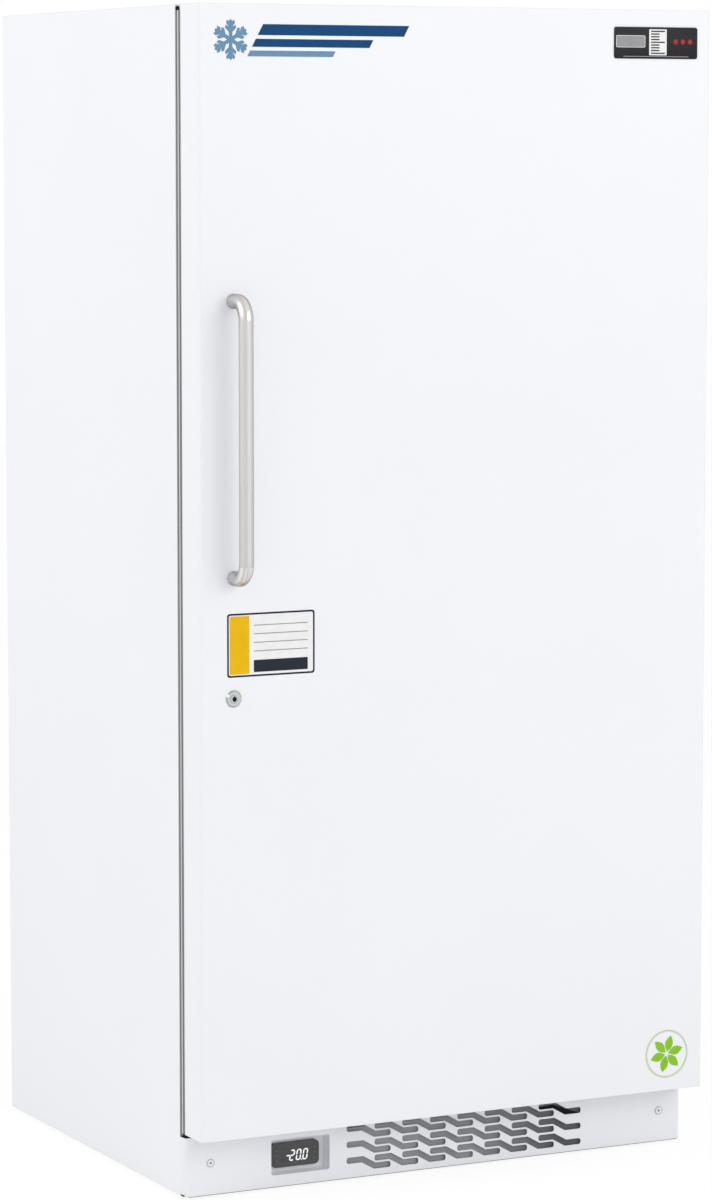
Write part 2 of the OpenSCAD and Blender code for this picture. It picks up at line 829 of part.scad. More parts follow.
// A framed filter that stands on the kick panel's lower fold, behind the slots
module intake_filter() {
    w = (slot_cols - 1) * slot_pitch_x + slot_len + 2 * filter_margin;
    x0 = -slot_start_x - filter_margin;
    z0 = sheet_t + seat_gap;
    z1 = kick_h - sheet_t - seat_gap;
    y0 = kick_in + seat_gap;
    color([0.55, 0.56, 0.58]) placed() {
        difference() {
            box([x0, y0, z0], [x0 + w, y0 + filter_t, z1]);
            box([x0 + filter_frame, y0 - cut, z0 + filter_frame],
                [x0 + w - filter_frame, y0 + filter_t + cut, z1 - filter_frame]);
        }
        box([x0 + 1, y0 + filter_t - filter_core_t - 1, z0 + 1], [x0 + w - 1, y0 + filter_t - 1, z1 - 1]);
    }
}

// Section of the welded shell: foot ring, barrel, and a dome made of an arc
function shell_section() = concat(
    [[0, 0], [comp_r - 22, 0], [comp_r - 6, 14], [comp_r, 34], [comp_r, 0.62 * comp_h]],
    [for (a = [10 : 10 : 90]) [comp_r * cos(a), comp_h * (0.62 + 0.38 * sin(a))]]);

module compressor() {
    color([0.10, 0.10, 0.11]) placed() translate([comp_x, comp_y, 0]) {
        translate([0, 0, comp_z]) rotate_extrude() polygon(shell_section());
        translate([0, 0, comp_z + 0.5 * comp_h]) cylinder(h = 6, r = comp_r + 2);
        difference() {
            box([-comp_plate_x, -comp_plate_y, comp_plate_z], [comp_plate_x, comp_plate_y, comp_z + 0.5]);
            for (x = [-1, 1], y = [-1, 1])
                translate([x * comp_foot_x, y * comp_foot_y, comp_plate_z - cut])
                    cylinder(h = comp_plate_t + 3 * cut, r = grommet_neck_r + slip);
        }
        for (y = [-1, 1]) pin_x(y * stub_y, stub_z, -comp_r - stub_out, 0, stub_r);
        box([-comp_r - relay_boss, -relay_w / 2 + 6, relay_z + 6], [0, relay_w / 2 - 6, relay_z + relay_h - 6]);
    }
}

// Spools of rubber: the plate rests on their lower part and their neck passes through it
module compressor_grommets() {
    color([0.08, 0.08, 0.08]) placed()
        for (x = [-1, 1], y = [-1, 1]) translate([comp_x + x * comp_foot_x, comp_y + y * comp_foot_y, pan_t]) {
            cylinder(h = grommet_h, r = grommet_r);
            cylinder(h = grommet_h + comp_plate_t + 4, r = grommet_neck_r);
            translate([0, 0, grommet_h + comp_plate_t + 1]) cylinder(h = 4, r = grommet_r - 3);
        }
}

module relay_cover() {
    x = comp_x - comp_r - relay_boss;
    color([0.15, 0.15, 0.16]) placed()
        box([x - relay_d, comp_y - relay_w / 2, relay_z], [x, comp_y + relay_w / 2, relay_z + relay_h]);
}

function coil_row_z(k) = coil_foot + k * coil_row_pitch;

module condenser_coil() {
    fin_pitch = (coil_y1 - coil_y0 - end_plate_t) / (fin_count + 1);
    bend_r = coil_row_pitch / 2;
    color([0.62, 0.63, 0.65]) placed() {
        for (y = [coil_y0, coil_y1 - end_plate_t])
            box([coil_x0, y, pan_t], [coil_x1, y + end_plate_t, coil_z1]);
        for (k = [1 : fin_count])
            box([coil_x0 + 2, coil_y0 + k * fin_pitch, pan_t + 8], [coil_x1 - 2, coil_y0 + k * fin_pitch + fin_t, coil_z1 - 4]);
        for (k = [0 : coil_rows - 1])
            pin_y(coil_mid, coil_row_z(k), coil_y0 - 1, coil_y1 + 1, coil_tube_r);
        for (k = [0 : coil_rows - 2]) {
            rear = k % 2 == 0;
            translate([coil_mid, rear ? coil_y1 + 1 : coil_y0 - 1, coil_row_z(k) + bend_r])
                rotate([0, rear ? -90 : 90, 90]) rotate([0, 0, -90])
                    rotate_extrude(angle = 180) translate([bend_r, 0]) circle(coil_tube_r);
        }
        // Stubs for the lines
        translate([coil_mid, comp_y - stub_y, coil_row_z(coil_rows - 1)])
            cylinder(h = coil_z1 + 5 - coil_row_z(coil_rows - 1), r = stub_r);
        pin_x(comp_y + stub_y, coil_row_z(0), coil_x0 - stub_out, coil_mid, stub_r);
    }
}

// The plate and ring that lead the air through the fan, with the arms that carry the motor
module fan_shroud() {
    ring_x1 = shroud_x + fan_ring_d;
    arm_x = motor_x + 8;
    color(dark) placed() {
        difference() {
            union() {
                box([coil_x1, coil_y0, pan_t], [shroud_x, coil_y1, coil_z1]);
                pin_x(comp_y, fan_z, coil_x1, ring_x1, fan_ring_r + fan_ring_t);
            }
            pin_x(comp_y, fan_z, coil_x1 - cut, ring_x1 + cut, fan_ring_r);
        }
        for (a = [90, 210, 330]) translate([0, comp_y, fan_z]) rotate([a, 0, 0]) {
            pin_x(0, fan_ring_r + fan_ring_t / 2, ring_x1 - 4, arm_x + motor_strap, strut_r);
            box([arm_x, -strut_r, motor_r + 1], [arm_x + motor_strap, strut_r, fan_ring_r]);
        }
        difference() {
            pin_x(comp_y, fan_z, arm_x, arm_x + motor_strap, motor_r + 2);
            pin_x(comp_y, fan_z, arm_x - cut, arm_x + motor_strap + cut, motor_r + slip);
        }
    }
}

module fan_motor() {
    color([0.55, 0.56, 0.58]) placed() {
        pin_x(comp_y, fan_z, motor_x, motor_x + motor_len, motor_r);
        pin_x(comp_y, fan_z, motor_x - 6, motor_x + 1, motor_r - 14);
        pin_x(comp_y, fan_z, fan_x - 3, motor_x, motor_shaft_r);
    }
}

module fan_blade() {
    color(dark) placed() translate([fan_x, comp_y, fan_z]) difference() {
        union() {
            pin_x(0, 0, 0, hub_len, hub_r);
            for (k = [0 : blade_count - 1]) rotate([k * 360 / blade_count, 0, 0])
                intersection() {
                    translate([hub_len / 2, 0, 0]) rotate([0, 0, blade_pitch])
                        box([-blade_t / 2, -45, hub_r - 3], [blade_t / 2, 45, 2 * blade_r]);
                    pin_x(0, 0, (hub_len - blade_depth) / 2, (hub_len + blade_depth) / 2, blade_r);
                    box([-blade_depth, -26, 0], [2 * blade_depth, 26, 2 * blade_r]);
                }
        }
        pin_x(0, 0, -cut - blade_depth, hub_len + blade_depth, motor_shaft_r + running);
    }
}

// Straight tubes between the points of a route, with a brazed ball at each corner
module line_route(points) {
    for (i = [0 : len(points) - 2]) {
        step = points[i + 1] - points[i];
        length = norm(step);
        translate(points[i]) rotate([0, acos(step[2] / length), atan2(step[1], step[0])])
            cylinder(h = length, r = line_r);
        if (i > 0) translate(points[i]) sphere(line_r + 0.8);
    }
}

module refrigerant_lines() {
    stub_x = comp_x - comp_r - stub_out;
    front = comp_y - stub_y;
    rear = comp_y + stub_y;
    high = bay_h - line_gap;
    out_x = coil_x0 - stub_out;
    bend_x = stub_x - 24;
    drier_x = out_x - 30;
    color(copper) placed() {
        line_route([[stub_x, rear, stub_z], [bend_x, rear, stub_z], [bend_x, rear, bay_h]]);
        line_route([[stub_x, front, stub_z], [bend_x, front, stub_z], [bend_x, front, high],
            [coil_mid, front, high], [coil_mid, front, coil_z1 + 5]]);
        line_route([[out_x, rear, coil_row_z(0)], [drier_x, rear, coil_row_z(0)], [drier_x, rear, bay_h]]);
        translate([drier_x, rear, (bay_h - drier_len) / 2]) {
            cylinder(h = drier_len, r = drier_r);
            translate([0, 0, -drier_r]) cylinder(h = drier_r, r1 = line_r + 0.5, r2 = drier_r);
            translate([0, 0, drier_len]) cylinder(h = drier_r, r1 = drier_r, r2 = line_r + 0.5);
        }
    }
}

module rear_cover() {
    color(galvanised) placed() difference() {
        box([seat_gap - side_in, rear_in, rear_cover_z0], [side_in - seat_gap, body_d, bay_h + sheet_t - seat_gap]);
        upright(rear_in - cut, body_d + cut) {
            for (col = [0 : louvre_cols - 1], row = [0 : louvre_rows - 1])
                translate([(col - (louvre_cols - 1) / 2) * louvre_pitch_x, louvre_z0 + row * louvre_pitch_z])
                    square([louvre_len, louvre_h], center = true);
            translate([inlet_x, inlet_z]) square([inlet_w + 2 * slip, inlet_h + 2 * slip], center = true);
            for (x = [-1, 1], z = rear_screw_heights())
                translate([x * (side_in - rear_flange_w / 2), z]) circle(screw_hole_r);
            for (x = rear_screw_columns()) translate([x, pan_flange_h / 2]) circle(screw_hole_r);
        }
    }
}

// The three-pin socket for a detachable cord
module power_inlet() {
    body_len = 28;
    color([0.06, 0.06, 0.06]) placed() {
        difference() {
            union() {
                upright(body_d - body_len, body_d + cut) translate([inlet_x, inlet_z])
                    square([inlet_w, inlet_h], center = true);
                upright(body_d, body_d + inlet_flange_t) translate([inlet_x, inlet_z])
                    soft_rect(inlet_w + 14, inlet_h + 8, 4);
            }
            upright(body_d - 15, body_d + inlet_flange_t + cut) translate([inlet_x, inlet_z])
                soft_rect(inlet_w - 4, inlet_h - 5, 2.5);
        }
        for (p = [[-7, -1.5], [0, 2], [7, -1.5]])
            box([inlet_x + p[0] - 1, body_d - 16, inlet_z + p[1] - 2], [inlet_x + p[0] + 1, body_d - 6, inlet_z + p[1] + 2]);
    }
}

module hinge_plate_plan(y1) {
    translate([hinge_x, hinge_y]) circle(hinge_round_r);
    translate([hinge_x - hinge_round_r, hinge_y]) square([hinge_plate_w, y1 - hinge_y]);
}

module hinge_plate_slot() {
    box([hinge_x - hinge_round_r - slip, -cut, hinge_top_z - slip],
        [hinge_x + hinge_round_r + slip, hinge_anchor + slip, hinge_top_z + hinge_plate_t + slip]);
}

module hinge_top() {
    color(steel) placed() {
        translate([0, 0, hinge_top_z]) linear_extrude(hinge_plate_t) hinge_plate_plan(hinge_anchor);
        translate([hinge_x, hinge_y, hinge_top_z - pin_len]) cylinder(h = pin_len + 1, r = hinge_pin_r);
    }
}

module hinge_bottom() {
    color(steel) placed() difference() {
        union() {
            translate([0, 0, hinge_low_z]) linear_extrude(hinge_plate_t) hinge_plate_plan(0);
            box([flange_x + 2, -hinge_plate_t, hinge_low_top - hinge_leg_h],
                [hinge_x + hinge_round_r, 0, hinge_low_top]);
            translate([hinge_x, hinge_y, hinge_low_z]) cylinder(h = pin_len + hinge_plate_t, r = hinge_pin_r);
        }
        for (x = hinge_screw_places())
            pin_y(x, hinge_low_top - hinge_screw_drop, -hinge_plate_t - cut, cut, screw_hole_r);
    }
}

// A hook that the cam turns in behind
module lock_strike() {
    lip_y1 = cam_y0 - strike_gap;
    low = lock_z - strike_z;
    color(steel) placed() {
        box([strike_x0, -strike_t, low - 18], [strike_x1, 0, lock_z + 8]);
        box([strike_x0, lip_y1 - strike_t, low - 4], [strike_x1, 0, low]);
        box([strike_x0, lip_y1 - strike_t, low - 4], [strike_x1, lip_y1, lock_z + 5]);
    }
}

module hinge_pocket(grow) {
    box([hinge_pocket_x - grow, hinge_pocket_front - grow, hinge_pocket_z - grow], [hw + cut, cut, body_h + cut]);
}

module door_holes() {
    pin_y(lock_x, lock_z, door_front - cut, door_back + cut, lock_hole_r);
    for (z = [handle_low, handle_top])
        pin_y(handle_x, z, door_front - cut, door_front + sheet_t + cut, handle_stud_r + slip);
    translate([hinge_x, hinge_y, hinge_pocket_z - bush_len]) cylinder(h = bush_len + cut, r = bush_r + slip);
    translate([hinge_x, hinge_y, door_z0 - cut]) cylinder(h = bush_len + cut, r = bush_r + slip);
}

// The folded front of the door, with a pocket at its upper hinge corner
module door_outer_panel() {
    color(white) placed() difference() {
        translate([0, 0, door_z0]) linear_extrude(body_h - door_z0)
            round_front_plan(hw, door_front, door_back, door_edge_r);
        difference() {
            translate([0, 0, door_z0 + sheet_t]) linear_extrude(body_h - door_z0 - 2 * sheet_t)
                round_front_plan(side_in, door_front + sheet_t, door_back + cut, door_edge_r - sheet_t);
            hinge_pocket(sheet_t);
        }
        difference() {
            box([hinge_pocket_x - 2 * sheet_t, door_fill, hinge_pocket_z - 2 * sheet_t],
                [side_in, 0, body_h - sheet_t]);
            hinge_pocket(0);
        }
        hinge_pocket(0);
        door_holes();
    }
}

module door_foam() {
    color([0.93, 0.87, 0.66]) placed() difference() {
        union() {
            translate([0, 0, door_z0 + sheet_t]) linear_extrude(body_h - door_z0 - 2 * sheet_t)
                round_front_plan(side_in, door_front + sheet_t, door_fill, door_edge_r - sheet_t);
            dyke(door_fill - liner_t, liner_t);
        }
        hinge_pocket(sheet_t);
        door_holes();
        for (z = [handle_low, handle_top])
            pin_y(handle_x, z, door_front, door_front + sheet_t + handle_nut_t + slip, handle_nut_r + slip);
    }
}

// The raised dyke in two steps, grown inwards by the thickness of a skin
module dyke(y0, skin) {
    width = dyke_w - skin;
    for (step = [[0, dyke_step], [dyke_slim, dyke_h]]) {
        inset = step[0] + skin;
        upright(y0, door_back + step[1] - skin)
            frame_2d(dyke_x - inset, dyke_z0 + inset, dyke_z1 - inset,
                dyke_x - width, dyke_z0 + width, dyke_z1 - width);
    }
}

// The formed back of the door: a flat rim for the gasket and the skin of the dyke that holds the racks
module door_liner() {
    color(plastic_white) placed() difference() {
        union() {
            box([-side_in, door_fill, door_z0 + sheet_t], [side_in, door_back, body_h - sheet_t]);
            dyke(door_fill, 0);
        }
        dyke(door_fill - cut, liner_t);
        hinge_pocket(sheet_t);
        door_holes();
    }
}

// The seal: a foot on the door, a bulb that stands out between two grooves, and the face with the magnet
module door_gasket() {
    color([0.80, 0.81, 0.82]) placed() for (g = gasket_layers)
        upright(door_back + g[2] * gasket_rear, door_back + g[3] * gasket_rear + (g[3] < 1 ? 0.01 : 0))
            difference() {
                translate([-hw + g[0], door_z0 + g[0]])
                    square([body_w - 2 * g[0] - gasket_shy, body_h - door_z0 - 2 * g[0] - gasket_shy]);
                translate([-hw + g[1], door_z0 + g[1]]) square([body_w - 2 * g[1], body_h - door_z0 - 2 * g[1]]);
            }
}

// A trough between the dyke's sides
module door_rack(i) {
    z = rack_z0 + i * rack_pitch;
    y0 = door_back + seat_gap;
    y1 = door_back + rack_reach;
    color(plastic_white) placed() {
        box([-rack_x, y0, z], [rack_x, y1, z + rack_t]);
        box([-rack_x, y1 - rack_t, z], [rack_x, y1, z + rack_h]);
        for (side = [0, 1]) mirror([side, 0, 0]) box([rack_x - rack_t, y0, z], [rack_x, y1, z + rack_h]);
        pin_x(y1 - rack_lip_r, z + rack_h, -rack_x, rack_x, rack_lip_r);
    }
}

module door_rack_1() { door_rack(0); }
module door_rack_2() { door_rack(1); }
module door_rack_3() { door_rack(2); }
module door_rack_4() { door_rack(3); }

// Nylon bushes: the upper one's flange faces up, the lower one's faces down
module hinge_bushes() {
    up = hinge_top_z - seat_gap - hinge_pocket_z;
    down = door_z0 - hinge_low_top - seat_gap;
    color(plastic_white) placed() translate([hinge_x, hinge_y, 0]) difference() {
        union() {
            translate([0, 0, hinge_pocket_z - bush_len]) cylinder(h = bush_len + up, r = bush_r);
            translate([0, 0, hinge_pocket_z]) cylinder(h = up, r = bush_flange_r);
            translate([0, 0, door_z0 - down]) cylinder(h = bush_len + down, r = bush_r);
            translate([0, 0, door_z0 - down]) cylinder(h = down, r = bush_flange_r);
        }
        cylinder(h = body_h, r = hinge_pin_r + running);
    }
}

// A quarter bend that joins a leg along -Y to a bar along -Z
module handle_bend() {
    rotate([0, 90, 0]) rotate_extrude(angle = 90) translate([handle_bend_r, 0]) circle(handle_d / 2);
}

module handle_half() {
    r = handle_d / 2;
    half = handle_len / 2;
    pin_y(0, half, handle_y + handle_bend_r, door_front, r);
    translate([0, handle_y + handle_bend_r, half - handle_bend_r]) mirror([0, 1, 0]) mirror([0, 0, 1])
        handle_bend();
    translate([0, handle_y, 0]) cylinder(h = half - handle_bend_r, r = r);
    pin_y(0, half, door_front - cut, door_front + sheet_t + handle_nut_t, handle_stud_r);
    pin_y(0, half, door_front + sheet_t, door_front + sheet_t + handle_nut_t, handle_nut_r);
}

module door_handle() {
    color(steel) placed() translate([handle_x, 0, handle_z]) {
        handle_half();
        mirror([0, 0, 1]) handle_half();
    }
}

module lock_housing() {
    color(steel) placed() difference() {
        union() {
            pin_y(lock_x, lock_z, door_front - 1, door_back, lock_barrel_r);
            pin_y(lock_x, lock_z, door_front, lock_end, lock_neck_r);
            translate([lock_x, door_front, lock_z]) rotate([90, 0, 0])
                cylinder(h = lock_flange_t, r1 = lock_head_r, r2 = lock_head_r - 2);
        }
        pin_y(lock_x, lock_z, door_front - 10, 0, lock_plug_r + running);
    }
}

module lock_plug() {
    front = door_front - lock_flange_t - 0.4;
    color(galvanised) placed() difference() {
        pin_y(lock_x, lock_z, front, cam_y0, lock_plug_r);
        box([lock_x - 0.8, front - cut, lock_z - 3.2], [lock_x + 0.8, front + 4, lock_z + 3.2]);
        pin_y(lock_x, lock_z, front - cut, front + 4, 1.9);
    }
}

// The cam and the screw that holds it: it points up when the door is free
module lock_cam() {
    color(galvanised) placed() {
        pin_y(lock_x, lock_z, cam_y0, cam_y1, cam_hub_r);
        box([lock_x - cam_w / 2, cam_y0, lock_z], [lock_x + cam_w / 2, cam_y1, lock_z + cam_len]);
        pin_y(lock_x, lock_z, cam_y1, cam_y1 + 2.5, cam_hub_r - 1.5);
    }
}

side_panel_left();
side_panel_right();
top_panel();
rear_panel();
underside_panel();
cabinet_foam();
cabinet_liner();
breaker_frame();
shelf_rails();
evaporator_shelf_1();
evaporator_shelf_2();
evaporator_shelf_3();
evaporator_shelf_4();
evaporator_risers();
temperature_probe();
probe_port();
base_pan();
kick_panel();
panel_screws();
controller_pocket();
controller_housing();
controller_window();
intake_filter();
compressor();
compressor_grommets();
relay_cover();
condenser_coil();
fan_shroud();
fan_motor();
refrigerant_lines();
rear_cover();
power_inlet();
hinge_top();
hinge_bottom();
lock_strike();
foot_front_left();
foot_front_right();
foot_rear_left();
foot_rear_right();
fan_blade();
key_1();
key_2();
key_3();
key_4();
key_5();
key_6();
door_outer_panel();
door_foam();
door_liner();
door_gasket();
door_rack_1();
door_rack_2();
door_rack_3();
door_rack_4();
hinge_bushes();
door_handle();
lock_housing();
lock_plug();
lock_cam();
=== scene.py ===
# %% [markdown]
# A laboratory freezer is a tall insulated cabinet with one solid door. Nearly all of it is white
# enamelled sheet steel, so the picture lives from soft shading, from the thin joint round the door,
# and from a few small parts of metal and plastic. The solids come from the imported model. This lesson
# gives each of them its finish and adds the thin printed and moulded parts that the solids leave out.

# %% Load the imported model
import math

import bmesh
import bpy
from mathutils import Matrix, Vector


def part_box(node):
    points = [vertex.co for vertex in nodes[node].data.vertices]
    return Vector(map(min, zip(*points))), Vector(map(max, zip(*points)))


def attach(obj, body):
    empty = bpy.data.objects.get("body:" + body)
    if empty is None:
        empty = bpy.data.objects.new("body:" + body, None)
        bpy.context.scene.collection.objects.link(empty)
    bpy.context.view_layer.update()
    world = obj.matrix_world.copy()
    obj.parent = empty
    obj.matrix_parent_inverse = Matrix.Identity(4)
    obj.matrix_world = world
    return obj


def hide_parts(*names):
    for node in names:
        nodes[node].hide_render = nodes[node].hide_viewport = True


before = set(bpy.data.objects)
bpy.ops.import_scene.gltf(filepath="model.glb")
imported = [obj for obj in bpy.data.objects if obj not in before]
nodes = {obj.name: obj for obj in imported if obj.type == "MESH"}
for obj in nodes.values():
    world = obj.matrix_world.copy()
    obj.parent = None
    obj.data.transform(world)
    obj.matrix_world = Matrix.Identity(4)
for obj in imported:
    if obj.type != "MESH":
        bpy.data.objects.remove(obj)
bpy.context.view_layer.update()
MM = 0.001

# %% [markdown]
# The camera comes first, because every later choice is judged through it. A long lens a few metres
# away keeps the cabinet's upright edges nearly parallel. The place and the angles were solved from
# the cabinet's own corners, so the picture lines up with no fitting afterwards.

# %% Camera
CAMERA_PLACE = Vector((-2.8325, -5.6393, 1.4858))
CAMERA_TILT = math.radians(83.863)
CAMERA_TURN = math.radians(-26.66)
LENS = 127.92
SENSOR = 36

camera_data = bpy.data.cameras.new("studio_camera")
camera_data.sensor_width = SENSOR
camera_data.lens = LENS
camera = bpy.data.objects.new("studio_camera", camera_data)
camera.location = CAMERA_PLACE
camera.rotation_euler = (CAMERA_TILT, 0, CAMERA_TURN)
bpy.context.scene.collection.objects.link(camera)
bpy.context.scene.camera = camera
bpy.context.scene.view_settings.view_transform = "Standard"
print("camera stands", round(camera.location.length, 2), "m from the freezer's foot")

# %% [markdown]
# White on white needs care: the background has to be pure white while the enamel keeps its own pale
# grey shades. More light would burn the enamel out, so the world instead shows white only to rays
# that come straight from the camera, or by way of metal and glass. All other rays meet a calmer sky,
# which lights the freezer evenly from all sides, as a product photographer's light tent does.

# %% Light tent
SKY_STRENGTH = 0.72
WHITE = (1, 1, 1, 1)


def feed(tree, socket, value):
    """Links a socket to another node's output, or sets it to a number or a colour."""
    if isinstance(value, bpy.types.NodeSocket):
        tree.links.new(value, socket)
    else:
        socket.default_value = value


def math_node(tree, operation, first, second):
    """One Math node; an operand is a number or another node's output."""
    node = tree.nodes.new("ShaderNodeMath")
    node.operation = operation
    feed(tree, node.inputs[0], first)
    feed(tree, node.inputs[1], second)
    return node.outputs[0]


def mix_shaders(tree, share, first, second, output):
    """Mixes two shaders into the output node; the second shows where the share is 1."""
    mix = tree.nodes.new("ShaderNodeMixShader")
    for socket, source in zip(mix.inputs, (share, first.outputs[0], second.outputs[0])):
        tree.links.new(source, socket)
    tree.links.new(mix.outputs[0], tree.nodes[output].inputs["Surface"])


def sees_background(tree):
    """A socket that is 1 for camera, glossy and transmission rays, and 0 for all others."""
    path = tree.nodes.new("ShaderNodeLightPath").outputs
    direct = math_node(tree, "MAXIMUM", path["Is Camera Ray"], path["Is Glossy Ray"])
    return math_node(tree, "MAXIMUM", direct, path["Is Transmission Ray"])


def light_tent():
    """The world: white to look at, a plain soft sky for all other light."""
    world = bpy.data.worlds.new("light_tent")
    world.use_nodes = True
    tree = world.node_tree
    sky = tree.nodes["Background"]
    white = tree.nodes.new("ShaderNodeBackground")
    for node, strength in ((sky, SKY_STRENGTH), (white, 1)):
        node.inputs["Color"].default_value = WHITE
        node.inputs["Strength"].default_value = strength
    mix_shaders(tree, sees_background(tree), sky, white, "World Output")
    return world


bpy.context.scene.world = light_tent()
print("sky strength for diffuse light:", SKY_STRENGTH)

# %% [markdown]
# Three large soft boxes do the modelling, and their powers were fitted to the shades of the panels.
# The key stands high in front and to the right, so the door is a touch brighter at the top and the
# handle throws its soft shadow to the left. A second box hangs high at the left for the side panel,
# and a low one reaches under the door to the kick panel. Small lamps would throw hard shadows.

# %% Soft boxes
def soft_box(name, place, aim, width, height, power):
    """An area lamp at place that faces aim."""
    data = bpy.data.lights.new(name, "AREA")
    data.shape = "RECTANGLE"
    data.size = width
    data.size_y = height
    data.energy = power
    lamp = bpy.data.objects.new(name, data)
    lamp.location = place
    lamp.rotation_euler = (Vector(aim) - Vector(place)).to_track_quat("-Z", "Y").to_euler()
    bpy.context.scene.collection.objects.link(lamp)


soft_box("key_box", (1.5, -4.0, 2.4), (0, -0.3, 1.0), 3.4, 2.0, 42)
soft_box("left_box", (-3.8, 0.2, 3.0), (-0.4, 0.05, 1.0), 2.4, 1.8, 43)
soft_box("low_box", (0.3, -4.2, 0.5), (0, -0.3, 0.3), 3.0, 0.8, 5.1)

# %% [markdown]
# The floor is a white sweep of paper. To the camera it is mostly a flat white, with a share of real
# diffuse shading left in, so the freezer still stands in its own soft shadow. To all other rays it
# is plain paper that sends light back up under the door.

# %% Paper floor
FLOOR_HALF = 14.0
FLOOR_GLOW = 0.86
PAPER_WHITE = 1.03
PAPER_COLOUR = (0.96, 0.96, 0.96, 1)


def paper_floor():
    """A large flat sheet at the height of the feet, with its white paper material."""
    mesh = bpy.data.meshes.new("paper_floor")
    corners = [(x * FLOOR_HALF, y * FLOOR_HALF, 0) for x, y in ((-1, -1), (1, -1), (1, 1), (-1, 1))]
    mesh.from_pydata(corners, [], [(0, 1, 2, 3)])
    floor = bpy.data.objects.new("paper_floor", mesh)
    bpy.context.scene.collection.objects.link(floor)
    material = bpy.data.materials.new("white_paper")
    material.use_nodes = True
    tree = material.node_tree
    paper = tree.nodes["Principled BSDF"]
    paper.inputs["Base Color"].default_value = PAPER_COLOUR
    paper.inputs["Roughness"].default_value = 1
    paper.inputs["Specular IOR Level"].default_value = 0
    glow = tree.nodes.new("ShaderNodeEmission")
    glow.inputs["Strength"].default_value = PAPER_WHITE
    share = math_node(tree, "MULTIPLY", sees_background(tree), FLOOR_GLOW)
    mix_shaders(tree, share, paper, glow, "Material Output")
    mesh.materials.append(material)
    return floor


floor = paper_floor()
print("floor side in m:", 2 * FLOOR_HALF)

# %% [markdown]
# Several finishes share the same small effects: a slow drift of tone over a large panel, a fine
# grain, brush lines, softened edges and a little dust on what lies flat. Each effect is one node
# group with named sockets, built once and placed in every material with its own values. A group only
# puts out colours, masks, values and normals, while the shader stays in the material itself.

# %% Helpers for node groups
FLOAT, COLOUR, VECTOR = "NodeSocketFloat", "NodeSocketColor", "NodeSocketVector"
NOISE_LOW, NOISE_HIGH = 0.3, 0.7


def effect_group(name, inputs, outputs):
    """An empty shader node group with its sockets; returns the tree, its inputs and its outputs."""
    tree = bpy.data.node_groups.new(name, "ShaderNodeTree")
    for title, kind, value in inputs:
        socket = tree.interface.new_socket(title, in_out="INPUT", socket_type=kind)
        socket.default_value = value
    for title, kind in outputs:
        tree.interface.new_socket(title, in_out="OUTPUT", socket_type=kind)
    return tree, tree.nodes.new("NodeGroupInput").outputs, tree.nodes.new("NodeGroupOutput").inputs


def own_place(tree):
    """The object's own coordinates, in metres."""
    return tree.nodes.new("ShaderNodeTexCoord").outputs["Object"]


def noise_value(tree, scale, detail, place=None):
    """Noise over the object's own coordinates, or over another place."""
    noise = tree.nodes.new("ShaderNodeTexNoise")
    feed(tree, noise.inputs["Vector"], place or own_place(tree))
    feed(tree, noise.inputs["Scale"], scale)
    feed(tree, noise.inputs["Detail"], detail)
    return noise.outputs["Fac"]


def spread(tree, value, low, high):
    """Maps noise, which seldom leaves its middle range, onto low to high; the ends may be sockets."""
    node = tree.nodes.new("ShaderNodeMapRange")
    ends = {"Value": value, "From Min": NOISE_LOW, "From Max": NOISE_HIGH, "To Min": low, "To Max": high}
    for title, end in ends.items():
        feed(tree, node.inputs[title], end)
    return node.outputs["Result"]


def mix_colours(tree, mask, first, second):
    """first where the mask is 0, second where it is 1; each is a colour or a socket."""
    node = tree.nodes.new("ShaderNodeMix")
    node.data_type = "RGBA"
    for index, value in ((0, mask), (6, first), (7, second)):
        feed(tree, node.inputs[index], value)
    return node.outputs[2]


print("helpers ready for", FLOAT, COLOUR, VECTOR)

# %% [markdown]
# No painted panel has exactly one colour. The tone drift mixes two near colours by a slow noise,
# with patches about as large as a hand, far too faint to read as a pattern.

# %% Tone drift
def build_tone_drift():
    inputs = [("Light", COLOUR, WHITE), ("Dark", COLOUR, (0.9, 0.9, 0.9, 1)), ("Patches per m", FLOAT, 5.0)]
    tree, given, result = effect_group("tone_drift", inputs, [("Colour", COLOUR)])
    drift = spread(tree, noise_value(tree, given["Patches per m"], 2.0), 0.0, 1.0)
    tree.links.new(mix_colours(tree, drift, given["Light"], given["Dark"]), result["Colour"])
    return tree


TONE_DRIFT = build_tone_drift()
print("group:", TONE_DRIFT.name)

# %% [markdown]
# Powder coat has a fine orange peel and moulded plastic a spark-eroded grain. Both are one noise at a
# millimetre scale: its height goes to a Bump node, and the same noise moves the roughness a little.

# %% Fine grain
def build_fine_grain():
    inputs = [("Grains per m", FLOAT, 900.0), ("Smooth", FLOAT, 0.3), ("Rough", FLOAT, 0.4)]
    tree, given, result = effect_group("fine_grain", inputs, [("Height", FLOAT), ("Roughness", FLOAT)])
    grain = noise_value(tree, given["Grains per m"], 2.0)
    tree.links.new(grain, result["Height"])
    tree.links.new(spread(tree, grain, given["Smooth"], given["Rough"]), result["Roughness"])
    return tree


FINE_GRAIN = build_fine_grain()
print("group:", FINE_GRAIN.name)

# %% [markdown]
# Brushed steel carries thousands of fine scratches along one direction. A noise that is stretched by
# a different factor along each axis gives them, and the stretch is an input, so the same group
# serves an upright handle and a flat hinge plate.

